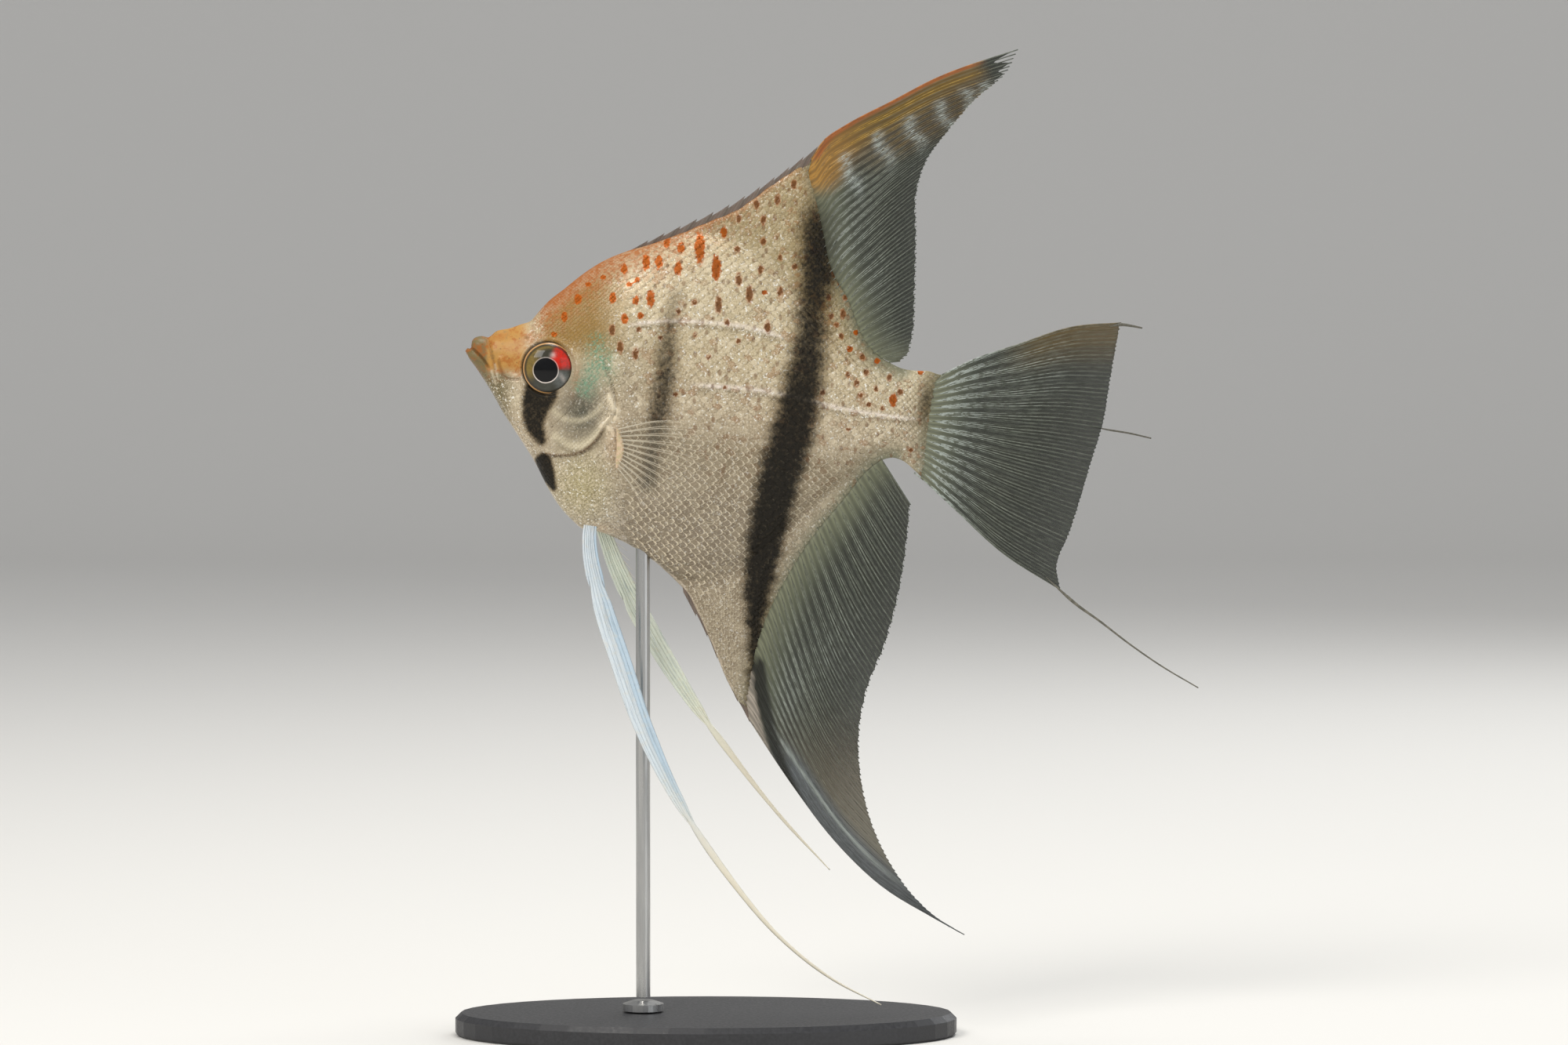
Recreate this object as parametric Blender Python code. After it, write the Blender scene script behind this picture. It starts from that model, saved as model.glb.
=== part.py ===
"""A freshwater angelfish at life size: a still display model swimming on a rod stand.

Sizes are millimetres until at() turns them into metres. The fish is drawn in its side
view, where u runs from the snout tip towards the tail and w runs up from the snout tip.
y runs across the fish, minus on its left side. at() sets that view above the stand.
"""

import math

import bmesh
import bpy
import numpy as np

MM = 0.001

# Driving dimensions. The outlines below are those of a fish 80 mm long from the snout tip to
# the middle of the tail fin's root.
SNOUT_HEIGHT = 120.0  # snout tip above the table
FOOT_U = 42.0  # the stand's middle, aft of the snout tip
GAP = 0.3  # between solids that touch
FAR = 140.0  # clear of the fish, for cutters
SHARP_ANGLE = 40.0  # degrees, past which an edge is shaded sharp

# Outline of the flesh: over the back, down behind the dorsal fin base, and the same below.
CROWN = (
    (0.0, 0.15), (0.5, 0.8), (0.95, 0.9), (1.15, 1.7), (1.7, 2.4), (2.7, 2.75), (4.1, 2.6),
    (5.4, 3.6), (7.7, 4.1), (9.7, 4.8), (11.4, 5.4), (12.4, 6.5), (14.5, 8.8), (17.3, 11.0),
    (20.7, 13.7), (24.2, 15.9), (28.3, 17.6), (32.4, 18.8), (36.5, 20.3), (42.0, 22.6),
    (47.5, 24.9), (53.0, 28.8), (58.5, 32.4), (60.6, 33.6),
)
DORSAL_SEAM = (
    (60.6, 33.6), (61.4, 29.6), (62.3, 25.8), (63.3, 20.3), (64.1, 15.8), (65.4, 12.6),
    (67.0, 9.8), (68.7, 5.2), (70.2, 1.8), (72.2, -0.6), (74.2, -1.9), (76.3, -2.9),
    (79.0, -3.3), (83.3, -3.2),
)
BREAST = (
    (0.0, -0.15), (0.8, -1.6), (1.9, -3.1), (3.2, -5.1), (4.7, -7.5), (6.4, -10.6),
    (8.4, -13.7), (10.4, -16.8), (12.2, -19.7), (14.1, -23.5), (15.4, -25.8), (16.9, -27.9),
    (18.7, -29.8), (20.2, -31.1), (23.5, -31.8), (27.6, -33.5), (33.8, -37.6), (36.5, -40.1),
    (38.6, -42.3), (40.6, -46.0), (43.6, -52.7), (46.0, -58.4), (48.2, -62.3), (49.6, -64.4),
)
ANAL_SEAM = (
    (49.6, -64.4), (50.2, -60.5), (50.9, -56.0), (51.9, -51.5), (53.4, -47.0), (55.7, -42.1),
    (60.5, -33.9), (66.7, -26.0), (70.8, -20.9), (72.9, -19.2), (74.9, -18.8), (76.6, -19.4),
    (78.4, -20.9), (80.4, -22.8),
)
TAIL_SEAM = ((80.4, -22.8), (80.7, -18.8), (81.2, -14.4), (82.0, -9.6), (83.3, -4.2))

# The thick body inside that outline: beyond it go only the thin scaled fin bases.
BODY_TOP = (
    (28.3, 17.6), (34.0, 19.6), (40.0, 20.6), (44.0, 20.2), (48.3, 18.4), (55.3, 13.2),
    (61.0, 7.0), (66.0, 1.0), (70.0, -1.6), (76.0, -3.0), (83.3, -3.2),
)
BODY_UNDER = (
    (33.8, -37.6), (38.0, -39.8), (42.0, -40.2), (47.0, -38.2), (54.0, -33.0),
    (60.0, -27.5), (66.0, -22.5), (72.9, -19.4), (76.6, -19.5), (80.4, -22.8),
)
HALF_WIDTH = (  # (u, half of the body's greatest width there)
    (0.0, 0.9), (1.0, 1.7), (3.0, 2.4), (6.0, 3.2), (10.0, 4.2), (14.7, 5.1), (20.0, 6.1),
    (26.0, 6.9), (32.0, 7.2), (42.0, 6.9), (52.0, 6.0), (62.0, 4.5), (70.0, 3.2),
    (76.0, 2.4), (80.0, 1.6), (83.3, 0.5),
)
EDGE_HALF = 0.4  # half the thickness of the fin bases at the outline
EDGE_GAIN = 0.07  # how fast they thicken inwards
EDGE_MOST = 1.3
LENS_POWER, LENS_ROUND = 2.4, 0.62  # the body's section: full at mid-height, rounded at its ends
RIDGE_SHARE = 0.045  # the least share of a slice's height that back and belly ridges take
SIDE_LEAN, SIDE_POINTS = 76.0, 9  # degrees up and down that a slice's side points reach
# Runs of upright slices as (from u, to u, how many), closest where the outline turns.
STATIONS = ((0.05, 4.6, 6), (5.8, 28.0, 11), (30.5, 47.8, 7), (49.6, 73.8, 15), (76.2, 83.2, 4))

# Lines that part the flesh into its named pieces. Each zone lies left of its line.
HEAD_LINE = (
    (5.0, -24.0), (11.0, -18.6), (14.6, -17.7), (17.8, -17.6), (20.6, -15.9), (23.4, -13.6),
    (25.6, -11.2), (26.4, -8.6), (25.2, -3.0), (23.6, 4.0), (22.4, 14.0), (22.0, 24.0),
)
GILL_LINE = (
    (25.0, 5.6), (20.6, 0.6), (20.2, -4.6), (18.6, -10.0), (15.6, -14.2), (12.6, -17.4),
    (8.0, -21.0),
)
JAW_LINE = ((5.0, -13.0), (6.2, -9.0), (4.4, -5.0), (2.9, -2.4), (1.7, -0.6), (0.9, 1.0), (-3.0, 1.6))
LIP_LINE = ((5.3, -6.8), (5.0, -2.4), (4.4, 0.2), (4.2, 2.4), (4.2, 4.6))
DORSAL_LINE = (
    (26.0, 19.0), (32.0, 17.4), (40.0, 19.6), (45.0, 19.6), (50.0, 17.4), (56.0, 12.6),
    (61.0, 7.0), (66.0, 2.2), (70.5, 0.4), (76.0, 0.4),
)
ANAL_LINE = (
    (76.0, -21.2), (70.4, -20.9), (66.0, -23.6), (60.0, -28.4), (54.0, -33.6), (48.0, -37.6),
    (43.0, -39.4), (38.0, -39.4), (33.0, -42.0),
)
STALK_LINE = ((71.6, 12.0), (71.8, -1.0), (71.2, -10.0), (72.0, -19.0), (73.0, -30.0))
GILL_INSIDE = 3.3  # the gill covers' flat backs, off the midline

# Soft fins: rays run from base to edge, the first along the lead, the last along the trail.
DORSAL_FIN = {
    "base": DORSAL_SEAM[:11], "rays": 11, "sway": 1.6,
    "edge": (
        (96.5, 52.6), (94.9, 49.2), (89.1, 43.9), (84.5, 38.6), (80.6, 33.2), (79.0, 28.0),
        (78.9, 20.0), (78.7, 10.0), (78.2, 2.4), (77.2, -0.8), (76.0, -1.8),
    ),
    "lead": (
        (61.5, 34.0), (63.6, 37.2), (67.1, 39.6), (74.9, 43.7), (83.2, 48.0), (91.4, 51.0),
        (96.5, 52.6),
    ),
    "trail": ((74.4, -1.6), (76.0, -1.8)),
}
ANAL_FIN = {
    "base": ANAL_SEAM[:10], "rays": 13, "sway": -2.0, "outwards": -1,
    "edge": (
        (87.3, -102.2), (83.2, -99.8), (78.4, -95.4), (74.4, -89.8), (71.0, -82.4),
        (69.2, -74.6), (68.9, -66.6), (70.1, -59.8), (73.6, -50.8), (76.0, -41.4),
        (77.2, -33.2), (77.8, -26.8),
    ),
    "lead": (
        (50.6, -65.2), (53.2, -69.4), (58.5, -77.4), (65.3, -86.4), (73.6, -94.3),
        (81.8, -99.2), (87.3, -102.2),
    ),
    "trail": ((73.2, -19.8), (77.8, -26.8)),
}
TAIL_FIN = {
    "base": TAIL_SEAM[::-1], "rays": 9, "sway": 1.4,
    "edge": (
        (114.6, 4.9), (113.7, 0.2), (112.8, -5.4), (111.6, -12.4), (108.9, -21.6),
        (105.8, -31.8), (103.5, -37.8), (104.2, -41.9),
    ),
    "lead": ((83.7, -3.9), (88.6, -1.5), (96.9, 1.3), (106.5, 4.3), (114.6, 4.9)),
    "trail": ((80.8, -23.0), (85.9, -27.8), (94.1, -35.4), (104.2, -41.9)),
}
PECTORAL_FIN = {
    "base": ((26.9, -13.4), (27.4, -16.8), (26.8, -20.2)), "rays": 7, "sway": 3.4, "rows": 3,
    "edge": (
        (41.2, -12.2), (44.6, -15.2), (44.9, -19.4), (42.4, -23.8), (37.0, -26.8),
        (31.4, -27.4),
    ),
    "lead": ((26.9, -13.4), (33.4, -12.0), (41.2, -12.2)),
    "trail": ((26.8, -20.2), (29.4, -23.6), (31.4, -27.4)),
}
PECTORAL_ROOT = 7.7  # off the midline at the base
FIN_ROWS = 5
FIN_ROOT = 0.8  # thickness at the base
FIN_RIM = 0.5  # and at the edge
FIN_RIB = 0.25  # how much thicker a ray is than the web
FIN_SCALLOP = 0.6  # how far the web dips between ray tips
FIN_CLEAR = 0.39  # from the flesh to a soft fin's base
SWAY_POWER = 1.6  # a fin bends to the side more towards its edge

# Spines ahead of the soft fins, their tips standing proud of the flesh.
DORSAL_SPINES = {
    "base": ((27.0, 15.6), (36.0, 18.8), (45.0, 22.0), (53.0, 26.6), (59.2, 31.0)),
    "rays": 11, "rows": 1,
    "edge": ((30.0, 18.9), (38.6, 22.8), (47.2, 26.7), (53.4, 30.5), (58.6, 34.1), (62.2, 36.7)),
}
ANAL_SPINES = {
    "base": ((37.6, -39.4), (40.6, -44.0), (44.0, -51.0), (47.0, -57.6), (49.0, -61.4)),
    "rays": 6, "rows": 1,
    "edge": ((38.4, -44.0), (42.0, -50.3), (44.2, -55.0), (46.8, -60.7), (50.0, -66.2)),
}
SPINE_NOTCH = 1.1  # how far the flesh dips between spines

# Long thin fins: the middle line as (u, y, w), and widths along it.
PELVIC_LEFT = (
    (21.7, -2.2, -32.4), (21.9, -2.5, -35.6), (22.8, -3.2, -40.0), (24.2, -3.9, -45.0),
    (27.2, -4.8, -54.0), (31.0, -5.6, -65.0), (36.9, -6.3, -77.6), (45.8, -6.8, -91.2),
    (55.8, -7.0, -102.9), (64.0, -6.6, -109.4), (72.7, -6.0, -114.1),
)
PELVIC_RIGHT = (
    (24.7, 2.2, -33.4), (26.0, 2.8, -37.0), (28.0, 3.4, -41.6), (30.2, 4.0, -46.0),
    (34.0, 4.9, -52.8), (39.6, 5.8, -61.8), (46.4, 6.6, -71.2), (54.9, 7.2, -82.0),
    (63.8, 7.4, -91.7),
)
PELVIC_WIDTHS = (3.0, 3.7, 4.3, 4.2, 3.6, 2.4, 1.6, 1.0, 0.7, 0.6, 0.5)
PELVIC_THICK = 0.9
TAIL_STREAMER = (
    (101.6, 0.9, -39.6), (104.4, 0.8, -42.2), (107.2, 0.4, -44.6), (110.6, 0.0, -47.0),
    (116.1, -0.6, -51.2), (121.6, -1.1, -55.0), (128.2, -1.5, -58.9),
)
TAIL_POINT = ((112.6, 1.3, 4.2), (114.6, 1.4, 4.6), (116.4, 1.4, 4.4), (118.4, 1.4, 4.0))
TAIL_THREAD = ((109.4, 1.3, -13.2), (112.4, 1.4, -13.8), (116.1, 1.4, -14.4), (120.0, 1.4, -15.3))
THREAD_WIDTHS = (1.5, 1.2, 0.9, 0.7, 0.5)
THREAD_THICK = 0.7
THREAD_SIDES = 6

# Eyes and stand.
EYE_U, EYE_Y, EYE_W = 14.7, 3.9, -2.9
EYE_RADIUS, EYE_DEPTH = 4.7, 2.5
EYE_LEAN, EYE_RINGS, EYE_SIDES = 80.0, 8, 18
ROD_U, ROD_RADIUS, ROD_TOP = 31.0, 1.25, -31.0
ROD_SIDES = 20
COLLAR_RADIUS, COLLAR_HIGH = 3.6, 1.8
COLLAR_WALL = 1.2  # height of the collar's upright side
COLLAR_LIP = 0.6  # width of its rim round the rod
COLLAR_SIDES = 24
ROD_FOOT = 6.7  # the rod's lower end, above the table
BASE_LONG, BASE_WIDE, BASE_HIGH, BASE_BEVEL = 88.0, 50.0, 4.0, 1.0
BASE_SIDES = 44

MATERIALS = {  # name: (colour, roughness, metallic)
    "scaled_skin": ((0.56, 0.50, 0.41), 0.4, 0.1),
    "lip_skin": ((0.62, 0.42, 0.20), 0.4, 0.0),
    "gill_plate": ((0.48, 0.48, 0.38), 0.3, 0.2),
    "fin_web": ((0.30, 0.31, 0.27), 0.35, 0.0),
    "pelvic_ray": ((0.62, 0.70, 0.74), 0.3, 0.0),
    "eye": ((0.03, 0.03, 0.03), 0.1, 0.0),
    "stand_black": ((0.03, 0.03, 0.032), 0.5, 0.0),
    "stand_steel": ((0.60, 0.60, 0.60), 0.3, 1.0),
}


# ---- Curves ----------------------------------------------------------------------------


def smooth(points, count):
    """count points spread evenly along a smooth curve through the given ones."""
    p = np.array(points, float)
    span = np.linalg.norm(np.diff(p, axis=0), axis=1)
    slope = np.gradient(p, np.append(0, np.cumsum(span)), axis=0)
    t = np.linspace(0, 1, 12, endpoint=False)[:, None]
    runs = []
    for i, length in enumerate(span):
        a, b = p[i], p[i + 1]
        m, n = slope[i] * length, slope[i + 1] * length
        runs.append(a + m * t + (3 * (b - a) - 2 * m - n) * t**2 + (2 * (a - b) + m + n) * t**3)
    fine = np.vstack([*runs, p[-1:]])
    run = np.append(0, np.cumsum(np.linalg.norm(np.diff(fine, axis=0), axis=1)))
    wanted = np.linspace(0, run[-1], count)
    return np.column_stack([np.interp(wanted, run, column) for column in fine.T])


def height_of(*outlines):
    """The curve through outlines that run aft one after the other, as a function of u."""
    line = np.vstack([smooth(outline, 12 * len(outline)) for outline in outlines])
    order = np.argsort(line[:, 0], kind="stable")
    return lambda u: np.interp(u, line[order, 0], line[order, 1])


def beside(line, distance):
    """The line moved sideways, to its left for a positive distance."""
    run = np.gradient(line, axis=0)
    run /= np.linalg.norm(run, axis=1)[:, None]
    return line + distance * np.column_stack([-run[:, 1], run[:, 0]])


top = height_of(CROWN, DORSAL_SEAM)
under = height_of(BREAST, ANAL_SEAM, TAIL_SEAM)
body_top = height_of(CROWN[:17], BODY_TOP)
body_under = height_of(BREAST[:17], BODY_UNDER, TAIL_SEAM)
half_width = height_of(HALF_WIDTH)


def half_thickness(u, w):
    """Half the flesh's thickness: a lens-shaped body with thin fin bases round it."""
    high, low = body_top(u), body_under(u)
    place = np.clip((w - (high + low) / 2) / ((high - low) / 2), -1, 1)
    body = half_width(u) * (1 - np.abs(place) ** LENS_POWER) ** LENS_ROUND
    inwards = np.minimum(top(u) - w, w - under(u)).clip(0)
    base = np.minimum(EDGE_HALF + EDGE_GAIN * inwards, EDGE_MOST)
    return np.hypot(body, base)


# ---- Meshes and objects ----------------------------------------------------------------


def at(u, y, w):
    """A point of the fish, in metres in the part's frame."""
    return ((u - FOOT_U) * MM, y * MM, (w + SNOUT_HEIGHT) * MM)


def material(name):
    made = bpy.data.materials.get(name)
    if made is None:
        colour, roughness, metallic = MATERIALS[name]
        made = bpy.data.materials.new(name)
        made.use_nodes = True
        shader = made.node_tree.nodes["Principled BSDF"]
        shader.inputs["Base Color"].default_value = (*colour, 1)
        shader.inputs["Roughness"].default_value = roughness
        shader.inputs["Metallic"].default_value = metallic
    return made


def add(name, bm, finish=None):
    """One object from a bmesh. Without a finish it's a cutter, and stays hidden."""
    bmesh.ops.recalc_face_normals(bm, faces=bm.faces)
    mesh = bpy.data.meshes.new(name)
    bm.to_mesh(mesh)
    bm.free()
    made = bpy.data.objects.new(name, mesh)
    bpy.context.scene.collection.objects.link(made)
    if finish:
        mesh.materials.append(material(finish))
        mesh.shade_smooth()
        mesh.set_sharp_from_angle(angle=math.radians(SHARP_ANGLE))
    else:
        made.hide_render = True
        made.display_type = "WIRE"
    return made


def carve(made, operation, cutters):
    for cutter in cutters:
        boolean = made.modifiers.new(cutter.name, "BOOLEAN")
        boolean.operation = operation
        boolean.solver = "EXACT"
        boolean.object = cutter
    return made


def tube(loops):
    """A closed tube through loops of equal length."""
    bm = bmesh.new()
    rows = [[bm.verts.new(point) for point in loop] for loop in loops]
    for a, b in zip(rows, rows[1:]):
        for i in range(len(a)):
            bm.faces.new((a[i - 1], a[i], b[i], b[i - 1]))
    bm.faces.new(rows[0])
    bm.faces.new(rows[-1])
    return bm


def plate(front, back):
    """A closed plate between two like grids of points."""
    bm = bmesh.new()
    rims = []
    for grid in (front, back):
        sheet = [[bm.verts.new(point) for point in column] for column in grid]
        for a, b in zip(sheet, sheet[1:]):
            for i in range(1, len(a)):
                bm.faces.new((a[i - 1], a[i], b[i], b[i - 1]))
        feet = [column[0] for column in sheet[1:-1]]
        tips = [column[-1] for column in sheet[1:-1]]
        rims.append([*sheet[0], *tips, *sheet[-1][::-1], *feet[::-1]])
    for i in range(len(rims[0])):
        bm.faces.new((rims[0][i - 1], rims[0][i], rims[1][i], rims[1][i - 1]))
    return bm


def prism(name, outline, y_from=-FAR, y_to=FAR):
    """A cutter: a side-view outline carried across the fish."""
    ends = [[at(u, y, w) for u, w in outline] for y in (y_from, y_to)]
    return add(name, tube(ends))


def zone(name, line, corners, spare, y_from=-FAR, y_to=FAR):
    """A cutter for all that lies left of a line, grown by spare there."""
    near = beside(smooth(line, 4 * len(line)), -spare)
    return prism(name, [*near, *corners], y_from, y_to)


# ---- Flesh -----------------------------------------------------------------------------


def flesh():
    """The whole body as upright slices from snout to tail root."""
    stations = np.concatenate([np.linspace(*run) for run in STATIONS])
    arc = (1 + np.sin(np.radians(np.linspace(-SIDE_LEAN, SIDE_LEAN, SIDE_POINTS)))) / 2
    loops = []
    for u in stations:
        high, low = top(u), under(u)
        least = RIDGE_SHARE * (high - low)
        shoulder = min(body_top(u), high - least)
        hip = max(body_under(u), low + least)
        inner = hip + (shoulder - hip) * arc
        w = np.array([(2 * low + hip) / 3, *inner, (2 * high + shoulder) / 3])
        y = half_thickness(u, w)
        left = [at(u, -a, b) for a, b in zip(y, w)]
        right = [at(u, a, b) for a, b in zip(y[::-1], w[::-1])]
        loops.append([at(u, 0, low), *left, at(u, 0, high), *right])
    return tube(loops)


def zones(spare):
    """The cutters that part the flesh, each with spare added at its line."""
    word = "wide" if spare > 0 else "tight"
    fore = [(-9, FAR), (-9, -24)]
    return {
        "head": zone(f"cut_head_{word}", HEAD_LINE, [(22, 60), *fore], spare),
        "jaw": zone(f"cut_jaw_{word}", JAW_LINE, [(-3, -13)], spare),
        "lip": zone(f"cut_lip_{word}", LIP_LINE, [(-3, 4.6), (-3, -6.8)], spare),
        "dorsal": zone(f"cut_dorsal_{word}", DORSAL_LINE, [(76, FAR), (26, FAR)], spare),
        "anal": zone(f"cut_anal_{word}", ANAL_LINE, [(33, -FAR), (76, -FAR)], spare),
        "stalk": zone(f"cut_stalk_{word}", STALK_LINE, [(FAR, -30), (FAR, 12)], spare),
    }


def gill_zones(spare):
    """The two cutters for the gill covers, which stop short of the midline."""
    word = "wide" if spare > 0 else "tight"
    inner = GILL_INSIDE - spare
    aft = [(40, -21), (40, 5.6)]
    return {
        "left": zone(f"cut_gill_left_{word}", GILL_LINE, aft, spare, -FAR, -inner),
        "right": zone(f"cut_gill_right_{word}", GILL_LINE, aft, spare, inner, FAR),
    }


def eye(side, extra):
    """An oblate eyeball as rings about its own axis."""
    loops = []
    for lean in np.radians(np.linspace(-EYE_LEAN, EYE_LEAN, EYE_RINGS)):
        ring = (EYE_RADIUS + extra) * math.cos(lean)
        y = side * (EYE_Y + (EYE_DEPTH + extra) * math.sin(lean))
        turns = np.linspace(0, math.tau, EYE_SIDES, endpoint=False)
        loops.append([at(EYE_U + ring * math.cos(a), y, EYE_W + ring * math.sin(a)) for a in turns])
    return tube(loops)


def build_flesh():
    tight, wide = zones(-GAP / 2), zones(GAP / 2)
    gill_tight, gill_wide = gill_zones(-GAP / 2), gill_zones(GAP / 2)
    sockets = [add(f"cut_socket_{word}", eye(side, GAP)) for word, side in (("left", -1), ("right", 1))]
    rod_hole = add("cut_rod_hole", rod(GAP))

    def piece(name, finish, keep, drop):
        made = add(name, flesh(), finish)
        carve(made, "INTERSECT", keep)
        return carve(made, "DIFFERENCE", drop)

    piece("lower_jaw", "lip_skin", [tight["jaw"]], [])
    piece("upper_lip", "lip_skin", [tight["lip"]], [wide["jaw"]])
    piece("head", "scaled_skin", [tight["head"]],
          [wide["jaw"], wide["lip"], *gill_wide.values(), *sockets])
    for side in ("left", "right"):
        piece(f"gill_cover_{side}", "gill_plate", [tight["head"], gill_tight[side]], [])
    piece("trunk", "scaled_skin", [],
          [wide["head"], wide["dorsal"], wide["anal"], wide["stalk"], rod_hole])
    piece("tail_peduncle", "scaled_skin", [tight["stalk"]], [])
    for word, spines in (("dorsal", DORSAL_SPINES), ("anal", ANAL_SPINES)):
        made = add(f"{word}_fin_spiny", flesh(), "scaled_skin")
        carve(made, "UNION", [add(f"cut_{word}_spines", fin(spines, SPINE_NOTCH))])
        carve(made, "INTERSECT", [tight[word]])


# ---- Fins ------------------------------------------------------------------------------


def fin(spec, scallop=FIN_SCALLOP, root=0.0, side=1):
    """A ribbed plate from base to edge, its web dipping between the ray tips."""
    columns, rows = 2 * spec["rays"] - 1, spec.get("rows", FIN_ROWS)
    feet, tips = smooth(spec["base"], columns), smooth(spec["edge"], columns)
    t = np.linspace(0, 1, rows + 1)[:, None]
    bends = [np.zeros((rows + 1, 2))] * 2
    if "lead" in spec:
        for end, word in enumerate(("lead", "trail")):
            path = smooth(spec[word], rows + 1)
            bends[end] = path - (path[0] + t * (path[-1] - path[0]))
    sheets = ([], [])
    for i, (foot, tip) in enumerate(zip(feet, tips)):
        s = i / (columns - 1)
        web = i % 2
        tip = tip - web * scallop * (tip - foot) / np.linalg.norm(tip - foot)
        line = foot + t * (tip - foot) + (1 - s) ** 2 * bends[0] + s**2 * bends[1]
        half = (FIN_ROOT + (FIN_RIM - FIN_ROOT) * t[:, 0] + (1 - web) * FIN_RIB) / 2
        sway = side * (root + spec.get("sway", 0) * t[:, 0] ** SWAY_POWER)
        for sheet, sign in zip(sheets, (-1, 1)):
            sheet.append([at(u, y, w) for (u, w), y in zip(line, sway + sign * half)])
    return plate(*sheets)


def clear_of_flesh(spec):
    """The same fin with its base moved outwards, clear of the flesh."""
    inner = smooth(spec["base"], 24)
    return {**spec, "base": beside(inner, FIN_CLEAR * spec.get("outwards", 1))}


def thread(points, widths, thick, count):
    """A tapering strand, wider in the side view than it is thick."""
    line = smooth(points, count)
    run = np.gradient(line, axis=0)
    run /= np.linalg.norm(run, axis=1)[:, None]
    across = np.cross(run, (0, 1, 0))
    wide = np.interp(np.linspace(0, 1, count), np.linspace(0, 1, len(widths)), widths)
    loops = []
    for middle, way, width in zip(line, across, wide):
        depth = min(thick, width)
        turns = np.linspace(0, math.tau, THREAD_SIDES, endpoint=False)
        ring = [middle + way * width / 2 * math.cos(a) + np.array((0, depth / 2 * math.sin(a), 0))
                for a in turns]
        loops.append([at(*point) for point in ring])
    return tube(loops)


def build_fins():
    add("dorsal_fin_soft", fin(clear_of_flesh(DORSAL_FIN)), "fin_web")
    add("anal_fin_soft", fin(clear_of_flesh(ANAL_FIN)), "fin_web")
    tail = add("caudal_fin", fin(clear_of_flesh(TAIL_FIN)), "fin_web")
    strands = (("streamer", TAIL_STREAMER, 9), ("point", TAIL_POINT, 5), ("thread", TAIL_THREAD, 6))
    for word, points, count in strands:
        strand = add(f"cut_tail_{word}", thread(points, THREAD_WIDTHS, THREAD_THICK, count))
        carve(tail, "UNION", [strand])
    for word, side in (("left", -1), ("right", 1)):
        add(f"pectoral_fin_{word}", fin(PECTORAL_FIN, root=PECTORAL_ROOT, side=side), "fin_web")
    add("pelvic_fin_left", thread(PELVIC_LEFT, PELVIC_WIDTHS, PELVIC_THICK, 22), "pelvic_ray")
    add("pelvic_fin_right", thread(PELVIC_RIGHT, PELVIC_WIDTHS, PELVIC_THICK, 19), "pelvic_ray")
    for word, side in (("left", -1), ("right", 1)):
        add(f"eye_{word}", eye(side, 0.0), "eye")


# ---- Stand -----------------------------------------------------------------------------


def round_bar(middle_u, radii_and_heights, sides, stretch=1.0):
    """A turned shape, or an oval one, from radii at heights above the table."""
    turns = np.linspace(0, math.tau, sides, endpoint=False)
    loops = []
    for radius, z in radii_and_heights:
        w = z - SNOUT_HEIGHT
        loops.append([at(middle_u + radius * math.cos(a), radius * stretch * math.sin(a), w)
                      for a in turns])
    return tube(loops)


def rod(extra):
    foot = ROD_FOOT - extra
    head = SNOUT_HEIGHT + ROD_TOP + extra
    radius = ROD_RADIUS + extra
    return round_bar(ROD_U, ((radius, foot), (radius, head)), ROD_SIDES)


def build_stand():
    reach, bevel = BASE_LONG / 2, BASE_BEVEL
    rings = (
        (reach - bevel / 2, 0), (reach, bevel / 2), (reach, BASE_HIGH - bevel),
        (reach - bevel, BASE_HIGH),
    )
    add("stand_base", round_bar(FOOT_U, rings, BASE_SIDES, BASE_WIDE / BASE_LONG), "stand_black")
    foot = BASE_HIGH + GAP
    rings = (
        (COLLAR_RADIUS, foot), (COLLAR_RADIUS, foot + COLLAR_WALL),
        (ROD_RADIUS + COLLAR_LIP, foot + COLLAR_HIGH),
    )
    add("stand_collar", round_bar(ROD_U, rings, COLLAR_SIDES), "stand_steel")
    add("stand_rod", rod(0.0), "stand_steel")


def main():
    for old in list(bpy.data.objects):
        bpy.data.objects.remove(old)
    build_flesh()
    build_fins()
    build_stand()


main()
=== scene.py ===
"""The looks of the freshwater angelfish model: skin, scales, fins, eyes, stand and studio.

Sizes are millimetres in the fish's side view: u runs from the snout tip towards the tail, w
runs up from the snout tip, and y runs across the fish, minus on its left side. at() turns
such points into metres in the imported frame.
"""

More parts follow.
